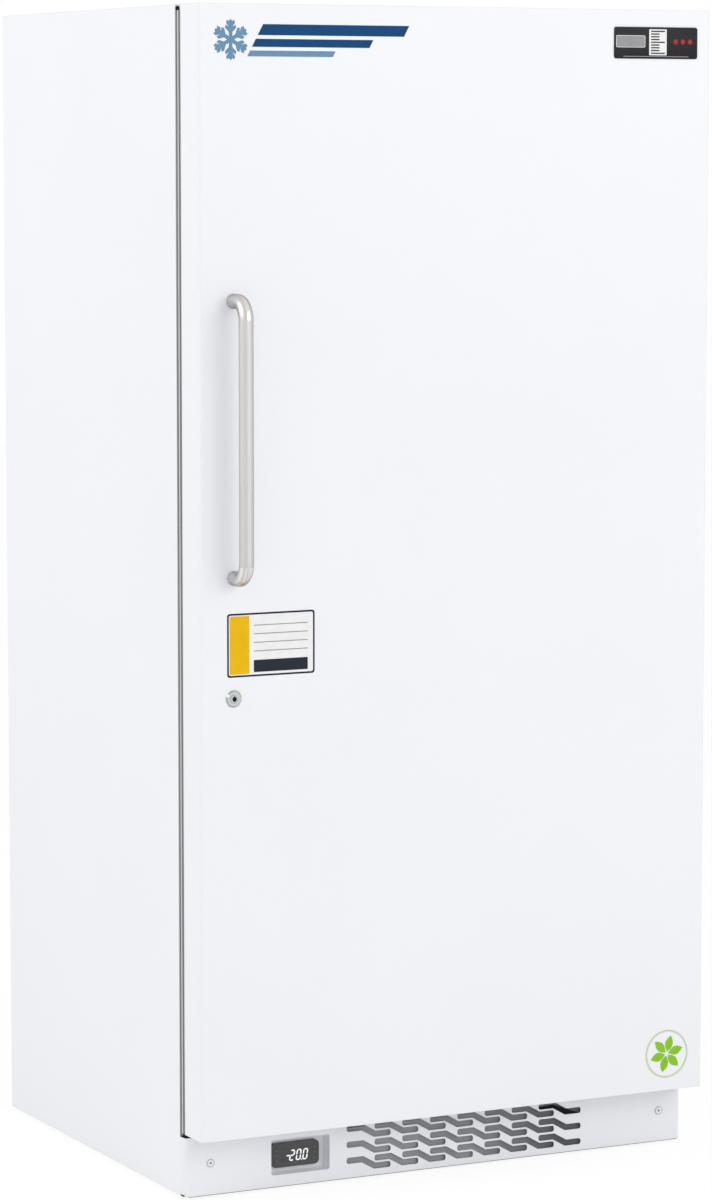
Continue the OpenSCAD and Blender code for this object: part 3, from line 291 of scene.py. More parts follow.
# %% Brush lines
def build_brush_lines():
    inputs = [("Lines per m", VECTOR, (4000, 4000, 40)), ("Smooth", FLOAT, 0.25), ("Rough", FLOAT, 0.4)]
    tree, given, result = effect_group("brush_lines", inputs, [("Height", FLOAT), ("Roughness", FLOAT)])
    stretch = tree.nodes.new("ShaderNodeVectorMath")
    stretch.operation = "MULTIPLY"
    tree.links.new(own_place(tree), stretch.inputs[0])
    tree.links.new(given["Lines per m"], stretch.inputs[1])
    lines = noise_value(tree, 1.0, 3.0, stretch.outputs[0])
    tree.links.new(lines, result["Height"])
    tree.links.new(spread(tree, lines, given["Smooth"], given["Rough"]), result["Roughness"])
    return tree


BRUSH_LINES = build_brush_lines()
print("group:", BRUSH_LINES.name)

# %% [markdown]
# A folded sheet never ends in a razor edge: the fold has a radius, and paint gathers on it. The solids
# are exact, so the softening is done in the shading, where the Bevel node bends the normal near an
# edge.

# %% Soft edges
BEVEL_SAMPLES = 4


def build_soft_edges():
    tree, given, result = effect_group("soft_edges", [("Radius", FLOAT, 0.001)], [("Normal", VECTOR)])
    bevel = tree.nodes.new("ShaderNodeBevel")
    bevel.samples = BEVEL_SAMPLES
    tree.links.new(given["Radius"], bevel.inputs["Radius"])
    tree.links.new(bevel.outputs[0], result["Normal"])
    return tree


SOFT_EDGES = build_soft_edges()
print("group:", SOFT_EDGES.name)

# %% [markdown]
# The machine bay draws in room air all day, so a thin film of dust settles on whatever faces up.
# The mask is the upward part of the normal, broken up by noise.

# %% Settled dust
def build_settled_dust():
    inputs = [("Colour", COLOUR, (0.5, 0.5, 0.5, 1)), ("Dust Colour", COLOUR, (0.45, 0.43, 0.4, 1))]
    inputs += [("Amount", FLOAT, 0.5)]
    tree, given, result = effect_group("settled_dust", inputs, [("Colour", COLOUR)])
    parts = tree.nodes.new("ShaderNodeSeparateXYZ")
    tree.links.new(tree.nodes.new("ShaderNodeNewGeometry").outputs["Normal"], parts.inputs[0])
    up = math_node(tree, "MAXIMUM", parts.outputs["Z"], 0.0)
    patchy = spread(tree, noise_value(tree, 60.0, 4.0), 0.3, 1.0)
    mask = math_node(tree, "MULTIPLY", math_node(tree, "MULTIPLY", up, patchy), given["Amount"])
    tree.links.new(mix_colours(tree, mask, given["Colour"], given["Dust Colour"]), result["Colour"])
    return tree


SETTLED_DUST = build_settled_dust()
print("group:", SETTLED_DUST.name)

# %% [markdown]
# A finish sometimes changes along one piece: a handle is brushed in the middle and polished at its
# bends, and a screw is painted in front and bare behind. The zone is a mask that is 1 between two
# distances along a direction, counted from the freezer's foot, with a soft step at either end.

# %% Zone along a direction
def build_zone():
    inputs = [("Axis", VECTOR, (0, 0, 1)), ("Low", FLOAT, 0.0), ("High", FLOAT, 1.0)]
    inputs += [("Blend", FLOAT, 0.001)]
    tree, given, result = effect_group("zone", inputs, [("Mask", FLOAT)])
    along = tree.nodes.new("ShaderNodeVectorMath")
    along.operation = "DOT_PRODUCT"
    tree.links.new(own_place(tree), along.inputs[0])
    tree.links.new(given["Axis"], along.inputs[1])
    place = along.outputs["Value"]
    rise = math_node(tree, "SUBTRACT", place, given["Low"])
    fall = math_node(tree, "SUBTRACT", given["High"], place)
    depth = math_node(tree, "DIVIDE", math_node(tree, "MINIMUM", rise, fall), given["Blend"])
    mask = math_node(tree, "ADD", depth, 0.5)
    mask.node.use_clamp = True
    tree.links.new(mask, result["Mask"])
    return tree


ZONE = build_zone()
print("group:", ZONE.name)

# %% [markdown]
# All finishes are put together the same way: two near colours drift into each other, a grain or
# brush group gives height and roughness, and soft edges feed the Bump node. What is the same all
# over, such as metalness or the edge tint, is set directly on the shader's own sockets.

# %% Helpers for finishes
ALONG_X, ALONG_Y, ALONG_Z = (1, 0, 0), (0, 1, 0), (0, 0, 1)
FAR = 9


def place_effect(tree, group, **values):
    """Puts an effect group into a material and sets its inputs."""
    node = tree.nodes.new("ShaderNodeGroup")
    node.node_tree = group
    for title, value in values.items():
        node.inputs[title.replace("_", " ")].default_value = value
    return node.outputs


def shade(colour, factor):
    """A colour with its brightness changed, as the four numbers that a socket takes."""
    return tuple(min(1.0, part * factor) for part in colour[:3]) + (1.0,)


def finish(name, colour, drift=0.96, patches=5.0, grain=900.0, rough=(0.3, 0.4), bump=0.05, edge=0.0008,
           lines=None, dust=0.0, **fixed):
    """A material from the shared effects. bump is the depth of the grain in millimetres."""
    material = bpy.data.materials.new(name)
    material.use_nodes = True
    material.diffuse_color = shade(colour, 1)
    tree = material.node_tree
    shader = tree.nodes["Principled BSDF"]
    for title, value in fixed.items():
        shader.inputs[title.replace("_", " ")].default_value = value
    tone = place_effect(tree, TONE_DRIFT, Light=shade(colour, 1), Dark=shade(colour, drift),
                        Patches_per_m=patches)
    paint = tone["Colour"]
    if dust:
        film = place_effect(tree, SETTLED_DUST, Amount=dust)
        tree.links.new(paint, film["Colour"].node.inputs["Colour"])
        paint = film["Colour"]
    tree.links.new(paint, shader.inputs["Base Color"])
    if lines:
        texture = place_effect(tree, BRUSH_LINES, Lines_per_m=lines, Smooth=rough[0], Rough=rough[1])
    else:
        texture = place_effect(tree, FINE_GRAIN, Grains_per_m=grain, Smooth=rough[0], Rough=rough[1])
    tree.links.new(texture["Roughness"], shader.inputs["Roughness"])
    relief = tree.nodes.new("ShaderNodeBump")
    relief.inputs["Strength"].default_value = 1
    relief.inputs["Distance"].default_value = bump * MM
    tree.links.new(texture["Height"], relief.inputs["Height"])
    tree.links.new(place_effect(tree, SOFT_EDGES, Radius=edge)["Normal"], relief.inputs["Normal"])
    tree.links.new(relief.outputs["Normal"], shader.inputs["Normal"])
    return material


def zone_mask(tree, axis, low, high, blend):
    """A zone's mask; distances in metres. An end that stays open lies FAR away."""
    return place_effect(tree, ZONE, Axis=axis, Low=low, High=high, Blend=blend)["Mask"]


def tint(material, mask, colour):
    """Lays another colour over a finish where the mask is 1."""
    base = material.node_tree.nodes["Principled BSDF"].inputs["Base Color"]
    paint = base.links[0].from_socket
    material.node_tree.links.new(mix_colours(material.node_tree, mask, paint, colour), base)


def numbered(name, count):
    """The names of like pieces."""
    return [f"{name}_{i + 1}" for i in range(count)]


def dress(material, *names):
    """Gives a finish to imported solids."""
    for name in names:
        slots = nodes[name].data.materials
        slots.clear()
        slots.append(material)
    print(material.name, "on", len(names), "nodes")


print("nodes to dress:", len(nodes))


# %% [markdown]
# The outside is white powder coat: a cool white, satin, with a faint orange peel. Inside the
# controller's pocket the enamel is painted a little brighter, as painted light against the shade in
# the recess, and its rolled front edge is painted a shade darker, as painted shade.

# %% White enamel
ENAMEL = (0.880, 0.892, 0.925)
ROLLED_EDGE_PAINTED_SHADE = (0.79, 0.80, 0.83, 1)
ROLLED_DEPTH = 0.005
ROLLED_BLEND = 0.014

enamel = finish("white_enamel", ENAMEL, drift=0.985, patches=3.0, grain=700, rough=(0.30, 0.38), bump=0.008,
                edge=0.0012)
dress(enamel, "side_panel_left", "side_panel_right", "top_panel", "rear_panel", "door_outer_panel")


def folded_enamel(name, brightness):
    """The enamel as it lies on small folded panels."""
    return finish(name, shade(ENAMEL, brightness), drift=0.98, patches=4.0, grain=800, rough=(0.34, 0.42),
                  bump=0.008, edge=0.0006)


dress(folded_enamel("kick_enamel", 0.99), "kick_panel")
# Painted light: the pocket's enamel is brighter, against the shade inside the recess.
pocket_painted_light_enamel = folded_enamel("pocket_painted_light_enamel", 1.08)
pocket_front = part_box("controller_pocket")[0].y
# Painted shade: the pocket's rolled front edge is tinted darker.
rolled_edge_painted_shade = zone_mask(pocket_painted_light_enamel.node_tree, ALONG_Y, -FAR, pocket_front + ROLLED_DEPTH, ROLLED_BLEND)
tint(pocket_painted_light_enamel, rolled_edge_painted_shade, ROLLED_EDGE_PAINTED_SHADE)
dress(pocket_painted_light_enamel, "controller_pocket")

# %% [markdown]
# Inside, the walls are thermoformed white plastic, warmer and glossier than the enamel, and the
# racks in the door are moulded from the same stuff.

# %% Liner plastic and foam
dress(finish("liner_plastic", (0.86, 0.87, 0.87), drift=0.98, grain=500, rough=(0.18, 0.26), bump=0.015,
             edge=0.002, Coat_Weight=0.2), "cabinet_liner", "door_liner", "breaker_frame")
dress(finish("rack_plastic", (0.84, 0.86, 0.88), drift=0.98, grain=700, rough=(0.25, 0.33), bump=0.01,
             edge=0.001), *numbered("door_rack", 4))
dress(finish("urethane_foam", (0.80, 0.66, 0.36), drift=0.85, patches=25, grain=450, rough=(0.75, 0.95),
             bump=0.5, edge=0.001), "cabinet_foam", "door_foam")

# %% [markdown]
# Three kinds of bare metal: galvanised sheet with its spangle for what nobody sees, brushed steel for
# hinges, strike and feet, and bright zinc for the lock. Where the lock is seen at a flat angle it is
# darker, and the shader's own specular tint gives that.

# %% Metals
dress(finish("galvanised_sheet", (0.60, 0.62, 0.64), drift=0.86, patches=70, grain=160, rough=(0.30, 0.48),
             bump=0.01, edge=0.0006, dust=0.15, Metallic=1.0),
      "underside_panel", "base_pan", "rear_cover", "shelf_rails")
dress(finish("plate_steel", (0.62, 0.61, 0.60), drift=0.95, patches=20, lines=(60, 3000, 3000),
             rough=(0.25, 0.4), bump=0.01, edge=0.0005, Metallic=1.0),
      "hinge_top", "hinge_bottom", "lock_strike", "temperature_probe",
      "foot_front_left", "foot_front_right", "foot_rear_left", "foot_rear_right")
dress(finish("bright_zinc", (0.47, 0.50, 0.50), drift=0.94, patches=60, grain=2500, rough=(0.2, 0.32),
             bump=0.006, edge=0.0007, Metallic=1.0, Specular_Tint=(0.6, 0.62, 0.63, 1)),
      "lock_housing", "lock_plug", "lock_cam")

# %% [markdown]
# The handle is one bent bar with three looks: brushed along the straight grip, polished on the bends,
# and duller where it meets the door. Bright and dark streaks on the bends are painted reflections,
# and so are the streaks of a cooler grey that run along the warm grey grip.

# %% Handle steel
BAR_WARM = (0.672, 0.634, 0.598)
BAR_PAINTED_REFLECTION = (0.605, 0.602, 0.602, 1)
BEND_PAINTED_HIGHLIGHT = (0.86, 0.82, 0.79, 1)
BEND_PAINTED_DARK_REFLECTION = (0.50, 0.48, 0.465, 1)
BEND_ROUGH = 0.28
STUB_GREY = (0.76, 0.755, 0.76, 1)
GRIP_FROM_LOW = 0.029
GRIP_FROM_HIGH = 0.034
STUB_START = 0.026


def streak_mask(tree, across, along):
    """Streaks along the bar, for painted reflections: 1 in a streak, 0 beside it, in changes per metre."""
    lines = (across, along, along)
    return place_effect(tree, BRUSH_LINES, Lines_per_m=lines, Smooth=0, Rough=1)["Roughness"]


def handle_finish():
    """The handle's steel, with the grip, the bends and the two stubs told apart by zones."""
    material = finish("handle_steel", BAR_WARM, drift=0.97, patches=8, lines=(2600, 2600, 30),
                      rough=(0.50, 0.66), bump=0.012, Metallic=1.0, Specular_Tint=(0.42, 0.41, 0.41, 1))
    tree = material.node_tree
    shader = tree.nodes["Principled BSDF"]
    low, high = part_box("door_handle")
    grip = zone_mask(tree, ALONG_Z, low.z + GRIP_FROM_LOW, high.z - GRIP_FROM_HIGH, 0.0015)
    stub = zone_mask(tree, ALONG_Y, low.y + STUB_START, high.y + 0.01, 0.012)
    # Painted reflections: streaks of a cooler grey along the grip.
    tint(material, streak_mask(tree, 230, 1.5), BAR_PAINTED_REFLECTION)
    grip_and_reflections = shader.inputs["Base Color"].links[0].from_socket
    # Painted reflections: bright and dark streaks on the polished bends.
    reflections_and_stubs = mix_colours(tree, streak_mask(tree, 620, 7), BEND_PAINTED_HIGHLIGHT, BEND_PAINTED_DARK_REFLECTION)
    reflections_and_stubs = mix_colours(tree, stub, reflections_and_stubs, STUB_GREY)
    tree.links.new(mix_colours(tree, grip, reflections_and_stubs, grip_and_reflections), shader.inputs["Base Color"])
    rough = tree.nodes.new("ShaderNodeMix")
    for index, value in ((0, grip), (2, BEND_ROUGH), (3, shader.inputs["Roughness"].links[0].from_socket)):
        feed(tree, rough.inputs[index], value)
    tree.links.new(rough.outputs[0], shader.inputs["Roughness"])
    return material


dress(handle_finish(), "door_handle")

# %% [markdown]
# The screws of the kick panel have heads painted with the cabinet, while those at the back are plain
# zinc. All of them are one node, so the zone mask parts paint from metal.

# %% Panel screws
PAINTED_HEAD = (0.83, 0.84, 0.87, 1)
screw_finish = finish("screw_finish", (0.66, 0.66, 0.64), drift=0.94, patches=90, grain=2500,
                      rough=(0.28, 0.38), bump=0.006, edge=0.0006)
screw_tree = screw_finish.node_tree
screw_front = zone_mask(screw_tree, ALONG_Y, -FAR, 0, 0.01)
tint(screw_finish, screw_front, PAINTED_HEAD)
screw_metal = math_node(screw_tree, "SUBTRACT", 1.0, screw_front)
screw_tree.links.new(screw_metal, screw_tree.nodes["Principled BSDF"].inputs["Metallic"])
dress(screw_finish, "panel_screws")

# %% [markdown]
# Moulded parts: nylon bushes, the controller's dark housing with its fine grain and its glossier
# window, and the black plastic and rubber of the machine bay.

# %% Plastics and rubber
DARK_GREY = (0.060, 0.060, 0.063)

dress(finish("white_nylon", (0.78, 0.78, 0.74), grain=1500, rough=(0.35, 0.45), bump=0.01),
      "hinge_bushes", "probe_port")
dress(finish("controller_plastic", DARK_GREY, drift=0.92, patches=40, grain=3500, rough=(0.38, 0.5),
             bump=0.012), "controller_housing", *numbered("key", 6))
dress(finish("window_plastic", shade(DARK_GREY, 0.85), drift=0.97, grain=200, rough=(0.06, 0.10),
             bump=0.002, edge=0.0004), "controller_window")
dress(finish("black_plastic", (0.035, 0.035, 0.037), drift=0.85, patches=30, grain=2500, rough=(0.4, 0.55),
             bump=0.02, edge=0.0006, dust=0.3), "relay_cover", "fan_shroud", "fan_blade", "power_inlet")
dress(finish("grommet_rubber", (0.02, 0.02, 0.02), drift=0.8, patches=50, grain=1500, rough=(0.6, 0.8),
             bump=0.03, edge=0.001, dust=0.2), "compressor_grommets")

# %% [markdown]
# The machine bay holds a black lacquered compressor, a cast motor, an aluminium coil with its fins, and
# copper lines, all with some dust. The cold shelves above are coated with white epoxy.

# %% Machine bay and shelves
dress(finish("compressor_lacquer", (0.02, 0.02, 0.022), drift=0.8, patches=15, grain=500,
             rough=(0.22, 0.34), edge=0.001, dust=0.35, Coat_Weight=0.3), "compressor")
dress(finish("motor_metal", (0.40, 0.41, 0.43), drift=0.85, patches=30, rough=(0.35, 0.5),
             bump=0.06, edge=0.001, dust=0.3, Metallic=1.0), "fan_motor")
dress(finish("coil_metal", (0.66, 0.67, 0.69), drift=0.88, patches=25, lines=(40, 900, 900),
             rough=(0.3, 0.45), bump=0.02, edge=0.0004, dust=0.35, Metallic=1.0), "condenser_coil")
dress(finish("copper_tube", (0.72, 0.38, 0.24), drift=0.72, patches=35, grain=700, rough=(0.25, 0.45),
             bump=0.01, edge=0.0005, dust=0.1, Metallic=1.0), "refrigerant_lines")
dress(finish("shelf_epoxy", (0.82, 0.84, 0.86), drift=0.95, patches=20, rough=(0.28, 0.4), bump=0.03,
             Coat_Weight=0.15), *numbered("evaporator_shelf", 4), "evaporator_risers")

# %% [markdown]
# The filter mat behind the slots is painted darker towards the right as painted shade, and a painted
# shadow lies right under the panel's fold, darkest at its left end. In its top right corner a black
# patch, cut where several zones overlap, is painted shade that stands in for the dark bay behind.

# %% Filter mat
MAT_GREY = (0.355, 0.362, 0.385)
MAT_PAINTED_SHADE = (0.125, 0.13, 0.14, 1)
FOLD_SHADOW = (0.22, 0.223, 0.235, 1)
CORNER_SHADOW = (0.06, 0.06, 0.063, 1)
BAY_PAINTED_SHADE = (0.010, 0.010, 0.012, 1)
SHARP = 0.0012
SHADE_PATCH_EDGES = [((0.383, 0, 1), 0, 0.1498), ((-0.08, 0, 1), -FAR, 0.0621), (ALONG_Z, 0.0592, FAR),
             (ALONG_X, 0.160, FAR)]

filter_mat = finish("filter_mat", MAT_GREY, drift=0.8, patches=12, grain=1400, rough=(0.8, 0.95), bump=0.25,
                    edge=0.0005, Specular_IOR_Level=0.2)
dress(filter_mat, "intake_filter")
mat_tree = filter_mat.node_tree
# Painted shade: the mat darkens towards the right.
tint(filter_mat, zone_mask(mat_tree, ALONG_X, 0.12, FAR, 0.15), MAT_PAINTED_SHADE)
# Painted shadow right under the panel's fold, darkest at its left end.
under_fold = zone_mask(mat_tree, ALONG_Z, 0.0772, FAR, 0.0015)
tint(filter_mat, under_fold, FOLD_SHADOW)
left_end = zone_mask(mat_tree, ALONG_X, -FAR, -0.128, 0.03)
tint(filter_mat, math_node(mat_tree, "MINIMUM", under_fold, left_end), CORNER_SHADOW)
# Painted shade: a black patch in the top right corner stands for the dark bay behind the slots.
bay_shade_patch = math_node(mat_tree, "MAXIMUM", zone_mask(mat_tree, ALONG_Z, 0.0705, FAR, 0.001),
                    zone_mask(mat_tree, ALONG_X, 0.192, FAR, 0.001))
for axis, low, high in SHADE_PATCH_EDGES:
    bay_shade_patch = math_node(mat_tree, "MINIMUM", bay_shade_patch, zone_mask(mat_tree, axis, low, high, SHARP))
tint(filter_mat, bay_shade_patch, BAY_PAINTED_SHADE)
print("nodes in the filter mat:", len(mat_tree.nodes))

# %% [markdown]
# Labels, plates and digits are all thin sheets that lie on a front face. One helper draws them: an
# outline in X and Z becomes a solid sheet. A thicker one can have a rounded rim that catches light.

# %% Helpers for thin sheets
def arc(centre, radius, start, end, steps):
    """Points along a round stretch, with the angles in degrees."""
    angles = [math.radians(start + (end - start) * i / steps) for i in range(steps + 1)]
    return [(centre[0] + radius * math.cos(a), centre[1] + radius * math.sin(a)) for a in angles]


def round_rect(width, height, radius, steps=8):
    """A rectangle with round corners about the origin."""
    x, z = width / 2 - radius, height / 2 - radius
    outline = []
    for turn, corner in enumerate([(x, z), (-x, z), (-x, -z), (x, -z)]):
        outline += arc(corner, radius, 90 * turn, 90 * turn + 90, steps)
    return outline


def moved(outline, x, z):
    """The same outline at another place."""
    return [(px + x, pz + z) for px, pz in outline]


def place_piece(name, shape, sharp, materials, body, origin=(0, 0, 0)):
    """Turns a bmesh into a piece on a body, with edges sharp from an angle in degrees."""
    mesh = bpy.data.meshes.new(name)
    shape.to_mesh(mesh)
    shape.free()
    mesh.shade_smooth()
    mesh.set_sharp_from_angle(angle=math.radians(sharp))
    for material in materials:
        mesh.materials.append(material)
    piece = bpy.data.objects.new(name, mesh)
    piece.location = origin
    bpy.context.scene.collection.objects.link(piece)
    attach(piece, body)
    return piece


INK_T = 0.06


def sheet(name, outline, origin, thick, material, body, rim=0.0, hole=None):
    """A solid sheet whose outline lies about origin, in millimetres; its back rests at origin's Y."""
    shape = bmesh.new()
    edges = []
    for ring in [outline] + ([hole] if hole else []):
        ring = [p for i, p in enumerate(ring) if math.dist(p, ring[i - 1]) > 1e-4]
        points = [shape.verts.new((x * MM, 0, z * MM)) for x, z in ring]
        edges += [shape.edges.new((points[i - 1], points[i])) for i in range(len(points))]
    bmesh.ops.triangle_fill(shape, use_beauty=True, use_dissolve=hole is None, edges=edges)
    bmesh.ops.recalc_face_normals(shape, faces=shape.faces)
    if sum((face.normal.y * face.calc_area() for face in shape.faces), 0.0) > 0:
        bmesh.ops.reverse_faces(shape, faces=shape.faces)
    front = bmesh.ops.extrude_face_region(shape, geom=shape.faces[:])["geom"]
    for vert in (part for part in front if isinstance(part, bmesh.types.BMVert)):
        vert.co.y -= thick * MM
    bmesh.ops.recalc_face_normals(shape, faces=shape.faces)
    if rim:
        limit = -thick * MM / 2
        corners = [e for e in shape.edges if all(v.co.y < limit for v in e.verts)
                   and any(abs(f.normal.y) < 0.5 for f in e.link_faces)]
        bmesh.ops.bevel(shape, geom=corners, offset=rim * MM, segments=2, profile=0.6, affect="EDGES")
    place_piece(name, shape, 30, [material], body, origin)


def flat_ring(name, outer, inner, origin, thick, material, body, steps=40):
    """A flat ring about origin."""
    rims = [arc((0, 0), radius, 0, 360 - 360 / steps, steps - 1) for radius in (outer, inner)]
    sheet(name, rims[0], origin, thick, material, body, hole=rims[1])


def face_middle(name):
    """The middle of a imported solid's front face."""
    low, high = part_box(name)
    return Vector(((low.x + high.x) / 2, low.y, (low.z + high.z) / 2))


print("a round plate has", len(round_rect(10, 5, 1)), "points in its outline")

# %% [markdown]
# Printing inks are satin and nearly flat in colour, with the slight mottle that screen printing
# leaves. The card is a white vinyl film, and the corner plate is black acrylic.

# %% Inks and films
def ink(name, colour, rough=(0.35, 0.45), **fixed):
    return finish(name, colour, drift=0.93, patches=60, grain=1800, rough=rough, bump=0.004, edge=0.0002,
                  Specular_IOR_Level=0.1, **fixed)


navy_ink = ink("navy_ink", (0.003, 0.062, 0.190))
card_navy_ink = ink("card_navy_ink", (0.020, 0.026, 0.040))
blue_ink = ink("steel_blue_ink", (0.16, 0.30, 0.46))
white_film = ink("white_film", (0.90, 0.90, 0.90))
yellow_ink = ink("yellow_ink", (0.86, 0.50, 0.004))
grey_ink = ink("grey_ink", (0.33, 0.34, 0.35))
red_ink = ink("red_ink", (0.46, 0.035, 0.03))
green_ink = ink("green_ink", (0.27, 0.58, 0.03))
pale_green_ink = ink("pale_green_ink", (0.60, 0.70, 0.50))
black_acrylic = ink("black_acrylic", (0.022, 0.022, 0.025), rough=(0.22, 0.28))
print("inks made, from", navy_ink.name, "to", black_acrylic.name)

# %% [markdown]
# A six-armed ice crystal says cold store to anyone. One arm is a bar with two pairs of barbs. Its
# outline is turned round the middle six times, so the whole crystal is one clean sheet.

# %% Ice crystal outline
BARBS = ((0.45, 0.24), (0.72, 0.17))


def turned(outline, angle):
    """The same outline turned about the origin, with the angle in degrees."""
    cos, sin = math.cos(math.radians(angle)), math.sin(math.radians(angle))
    return [(x * cos - z * sin, x * sin + z * cos) for x, z in outline]


def crystal(radius, bar):
    """Outline of a six-armed crystal. Each barb is (place along the arm, length), as shares of radius."""
    half = bar / 2
    slope = math.radians(60)
    side = []
    for place, length in BARBS:
        root = place * radius
        tip = (root + length * radius * math.cos(slope), half + length * radius * math.sin(slope))
        width = bar * 0.9
        side += [(root - width / 2, half), tip, (tip[0] + width * 0.9, tip[1] - width * 0.25),
                 (root + width, half)]
    side += [(radius - half, half), (radius, 0)]
    arm = [(x, -z) for x, z in side[:-1]] + [side[-1]] + [(x, z) for x, z in reversed(side[:-1])]
    valley = bar / (2 * math.sin(math.radians(30)))
    outline = []
    for turn in range(6):
        outline += turned([(valley, 0)], 60 * turn) + turned(arm, 60 * turn + 30)
    return outline


print("crystal outline has", len(crystal(20, 3)), "points")

# %% [markdown]
# At the door's top left is a long printed ornament in two blues: a large ice crystal, and beside it
# three slanted bars that get shorter downwards. It only gives that corner its colour accent.

# %% Crystal and bars
door_low, door_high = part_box("door_outer_panel")
FILM = 0.12
ORNAMENT_LEFT = 21.0
ORNAMENT_TOP = 21.0
ORNAMENT_W = 303.0
ORNAMENT_H = 56.0
BAR_LEAN = 0.55


def door_point(from_left, from_top):
    """A point on the door's face, measured in millimetres from its top left corner."""
    return Vector((door_low.x + from_left * MM, door_low.y, door_high.z - from_top * MM))


def slanted_bar(x0, x1, z, height):
    """A bar from x0 to x1 whose two ends lean to the right."""
    half = height / 2
    push = half * BAR_LEAN
    return [(x0 - push, z - half), (x1 - push, z - half), (x1 + push, z + half), (x0 + push, z + half)]


def ornament():
    """The crystal and its bars on the door."""
    centre = door_point(ORNAMENT_LEFT + ORNAMENT_W / 2, ORNAMENT_TOP + ORNAMENT_H / 2)
    left = -ORNAMENT_W / 2
    ice = moved(crystal(ORNAMENT_H / 2, 5.4), left + ORNAMENT_H / 2, 0)
    sheet("ornament_crystal", ice, centre, FILM, blue_ink, "door")
    top = 14
    bars = [(top, 15.0, 1.0, navy_ink), (-4, 11.0, 0.80, navy_ink), (-18.5, 8.0, 0.58, blue_ink)]
    start = left + ORNAMENT_H + 17
    for i, (z, height, share, colour) in enumerate(bars):
        end = start + (ORNAMENT_W / 2 - start - 5) * share
        push = (z - top) * BAR_LEAN
        bar = slanted_bar(start + push, end + push, z, height)
        sheet(f"ornament_bar_{i + 1}", bar, centre, FILM, colour, "door")


ornament()
print("ornament is", ORNAMENT_W, "mm wide")

# %% [markdown]
# The top right corner carries a small dark acrylic plate with plain marks: a grey write-on field, a
# white square with a scale of ticks, a row of red dots and a fine line.

# %% Corner plate
PLATE_W = 138.0
PLATE_H = 45.0
PLATE_T = 1.2
PLATE_LEFT = 651.6
PLATE_TOP = 24.4
FIELD = (-42, 2)
SQUARE = (3, 1)
TICK_LONG = 23
TICK_SHORT = 14


def corner_plate():
    """The dark plate and what is printed on it."""
    centre = door_point(PLATE_LEFT + PLATE_W / 2, PLATE_TOP + PLATE_H / 2)
    face = centre - Vector((0, PLATE_T * MM, 0))
    upper = face - Vector((0, FILM * MM, 0))

    def mark(name, outline, colour, place=face, hole=None):
        """One printed mark on the plate."""
        sheet(f"corner_plate_{name}", outline, place, FILM, colour, "door", hole=hole)

    sheet("corner_plate", round_rect(PLATE_W, PLATE_H, 3.6), centre, PLATE_T, black_acrylic, "door",
          rim=0.35)
    mark("field", moved(round_rect(46, 15, 1.6), *FIELD), grey_ink)
    mark("field_rim", moved(round_rect(48, 17, 2.2), *FIELD), white_film,
         hole=moved(round_rect(46.4, 15.4, 1.8), *FIELD))
    mark("square", moved(round_rect(29, 37, 0.8), *SQUARE), white_film)
    for i in range(9):
        length = TICK_LONG if i % 4 == 0 else TICK_SHORT
        shift = (TICK_LONG - length) / 2
        tick = moved(round_rect(length, 1.8, 0.4, 3), SQUARE[0] - shift, SQUARE[1] + (i - 4) * 3.9)
        mark(f"tick_{i + 1}", tick, black_acrylic, upper)
    for i in range(3):
        mark(f"dot_{i + 1}", moved(round_rect(7.0, 7.0, 3.4, 6), 32.5 + i * 12, 2), red_ink)
    mark("line", moved(round_rect(108, 1.0, 0.4, 3), 0, -19.3), grey_ink)


corner_plate()
print("corner plate is", PLATE_W, "by", PLATE_H, "mm")

# %% [markdown]
# Between handle and lock sits a card for notes: a white film with a navy border, a yellow band down
# its left side and ruled lines. It has no words, so any laboratory can write its own.

# %% Write-on card
CARD_W = 135.2
CARD_H = 89.4
CARD_LEFT = 40.5
CARD_TOP = 836.1
CARD_T = 0.2
BAND_W = 30.0


def write_on_card():
    """The card's film, border, band and lines."""
    centre = door_point(CARD_LEFT + CARD_W / 2, CARD_TOP + CARD_H / 2)
    face = centre - Vector((0, CARD_T * MM, 0))

    def mark(name, outline, colour, hole=None):
        """One printed mark on the card."""
        sheet(f"note_card_{name}", outline, face, FILM, colour, "door", hole=hole)

    sheet("note_card", round_rect(CARD_W, CARD_H, 4), centre, CARD_T, white_film, "door")
    mark("border", round_rect(CARD_W - 0.6, CARD_H - 0.6, 4), card_navy_ink,
         hole=round_rect(CARD_W - 5.6, CARD_H - 5.6, 2.4))
    band = round_rect(BAND_W, CARD_H - 8.4, 0.8, 3)
    mark("band", moved(band, (BAND_W - CARD_W) / 2 + 4.2, 0), yellow_ink)
    line_w = CARD_W - BAND_W - 22
    for i in range(4):
        mark(f"line_{i + 1}", moved(round_rect(line_w, 1.3, 0.5, 3), BAND_W / 2, 27 - i * 12), grey_ink)
    mark("foot", moved(round_rect(line_w, 17, 1.0, 3), BAND_W / 2, -30), card_navy_ink)


write_on_card()
print("card is", CARD_W, "by", CARD_H, "mm")

# %% [markdown]
# At the bottom right is a round green mark: a fine pale ring round six bright green petals that
# nearly meet in the middle, a plain rosette that leans towards an ice flower.

# %% Green mark
MARK_R = 36.0
MARK_FROM_RIGHT = 60.0
MARK_FROM_BOTTOM = 54.5


def petal(turn, inner, outer, half_width):
    """A pointed petal that runs outwards from the middle at an angle in degrees."""
    side = [(inner + (outer - inner) * i / 8, half_width * math.sin(math.pi * i / 8)) for i in range(9)]
    return turned(side + [(x, -z) for x, z in reversed(side[1:-1])], turn)


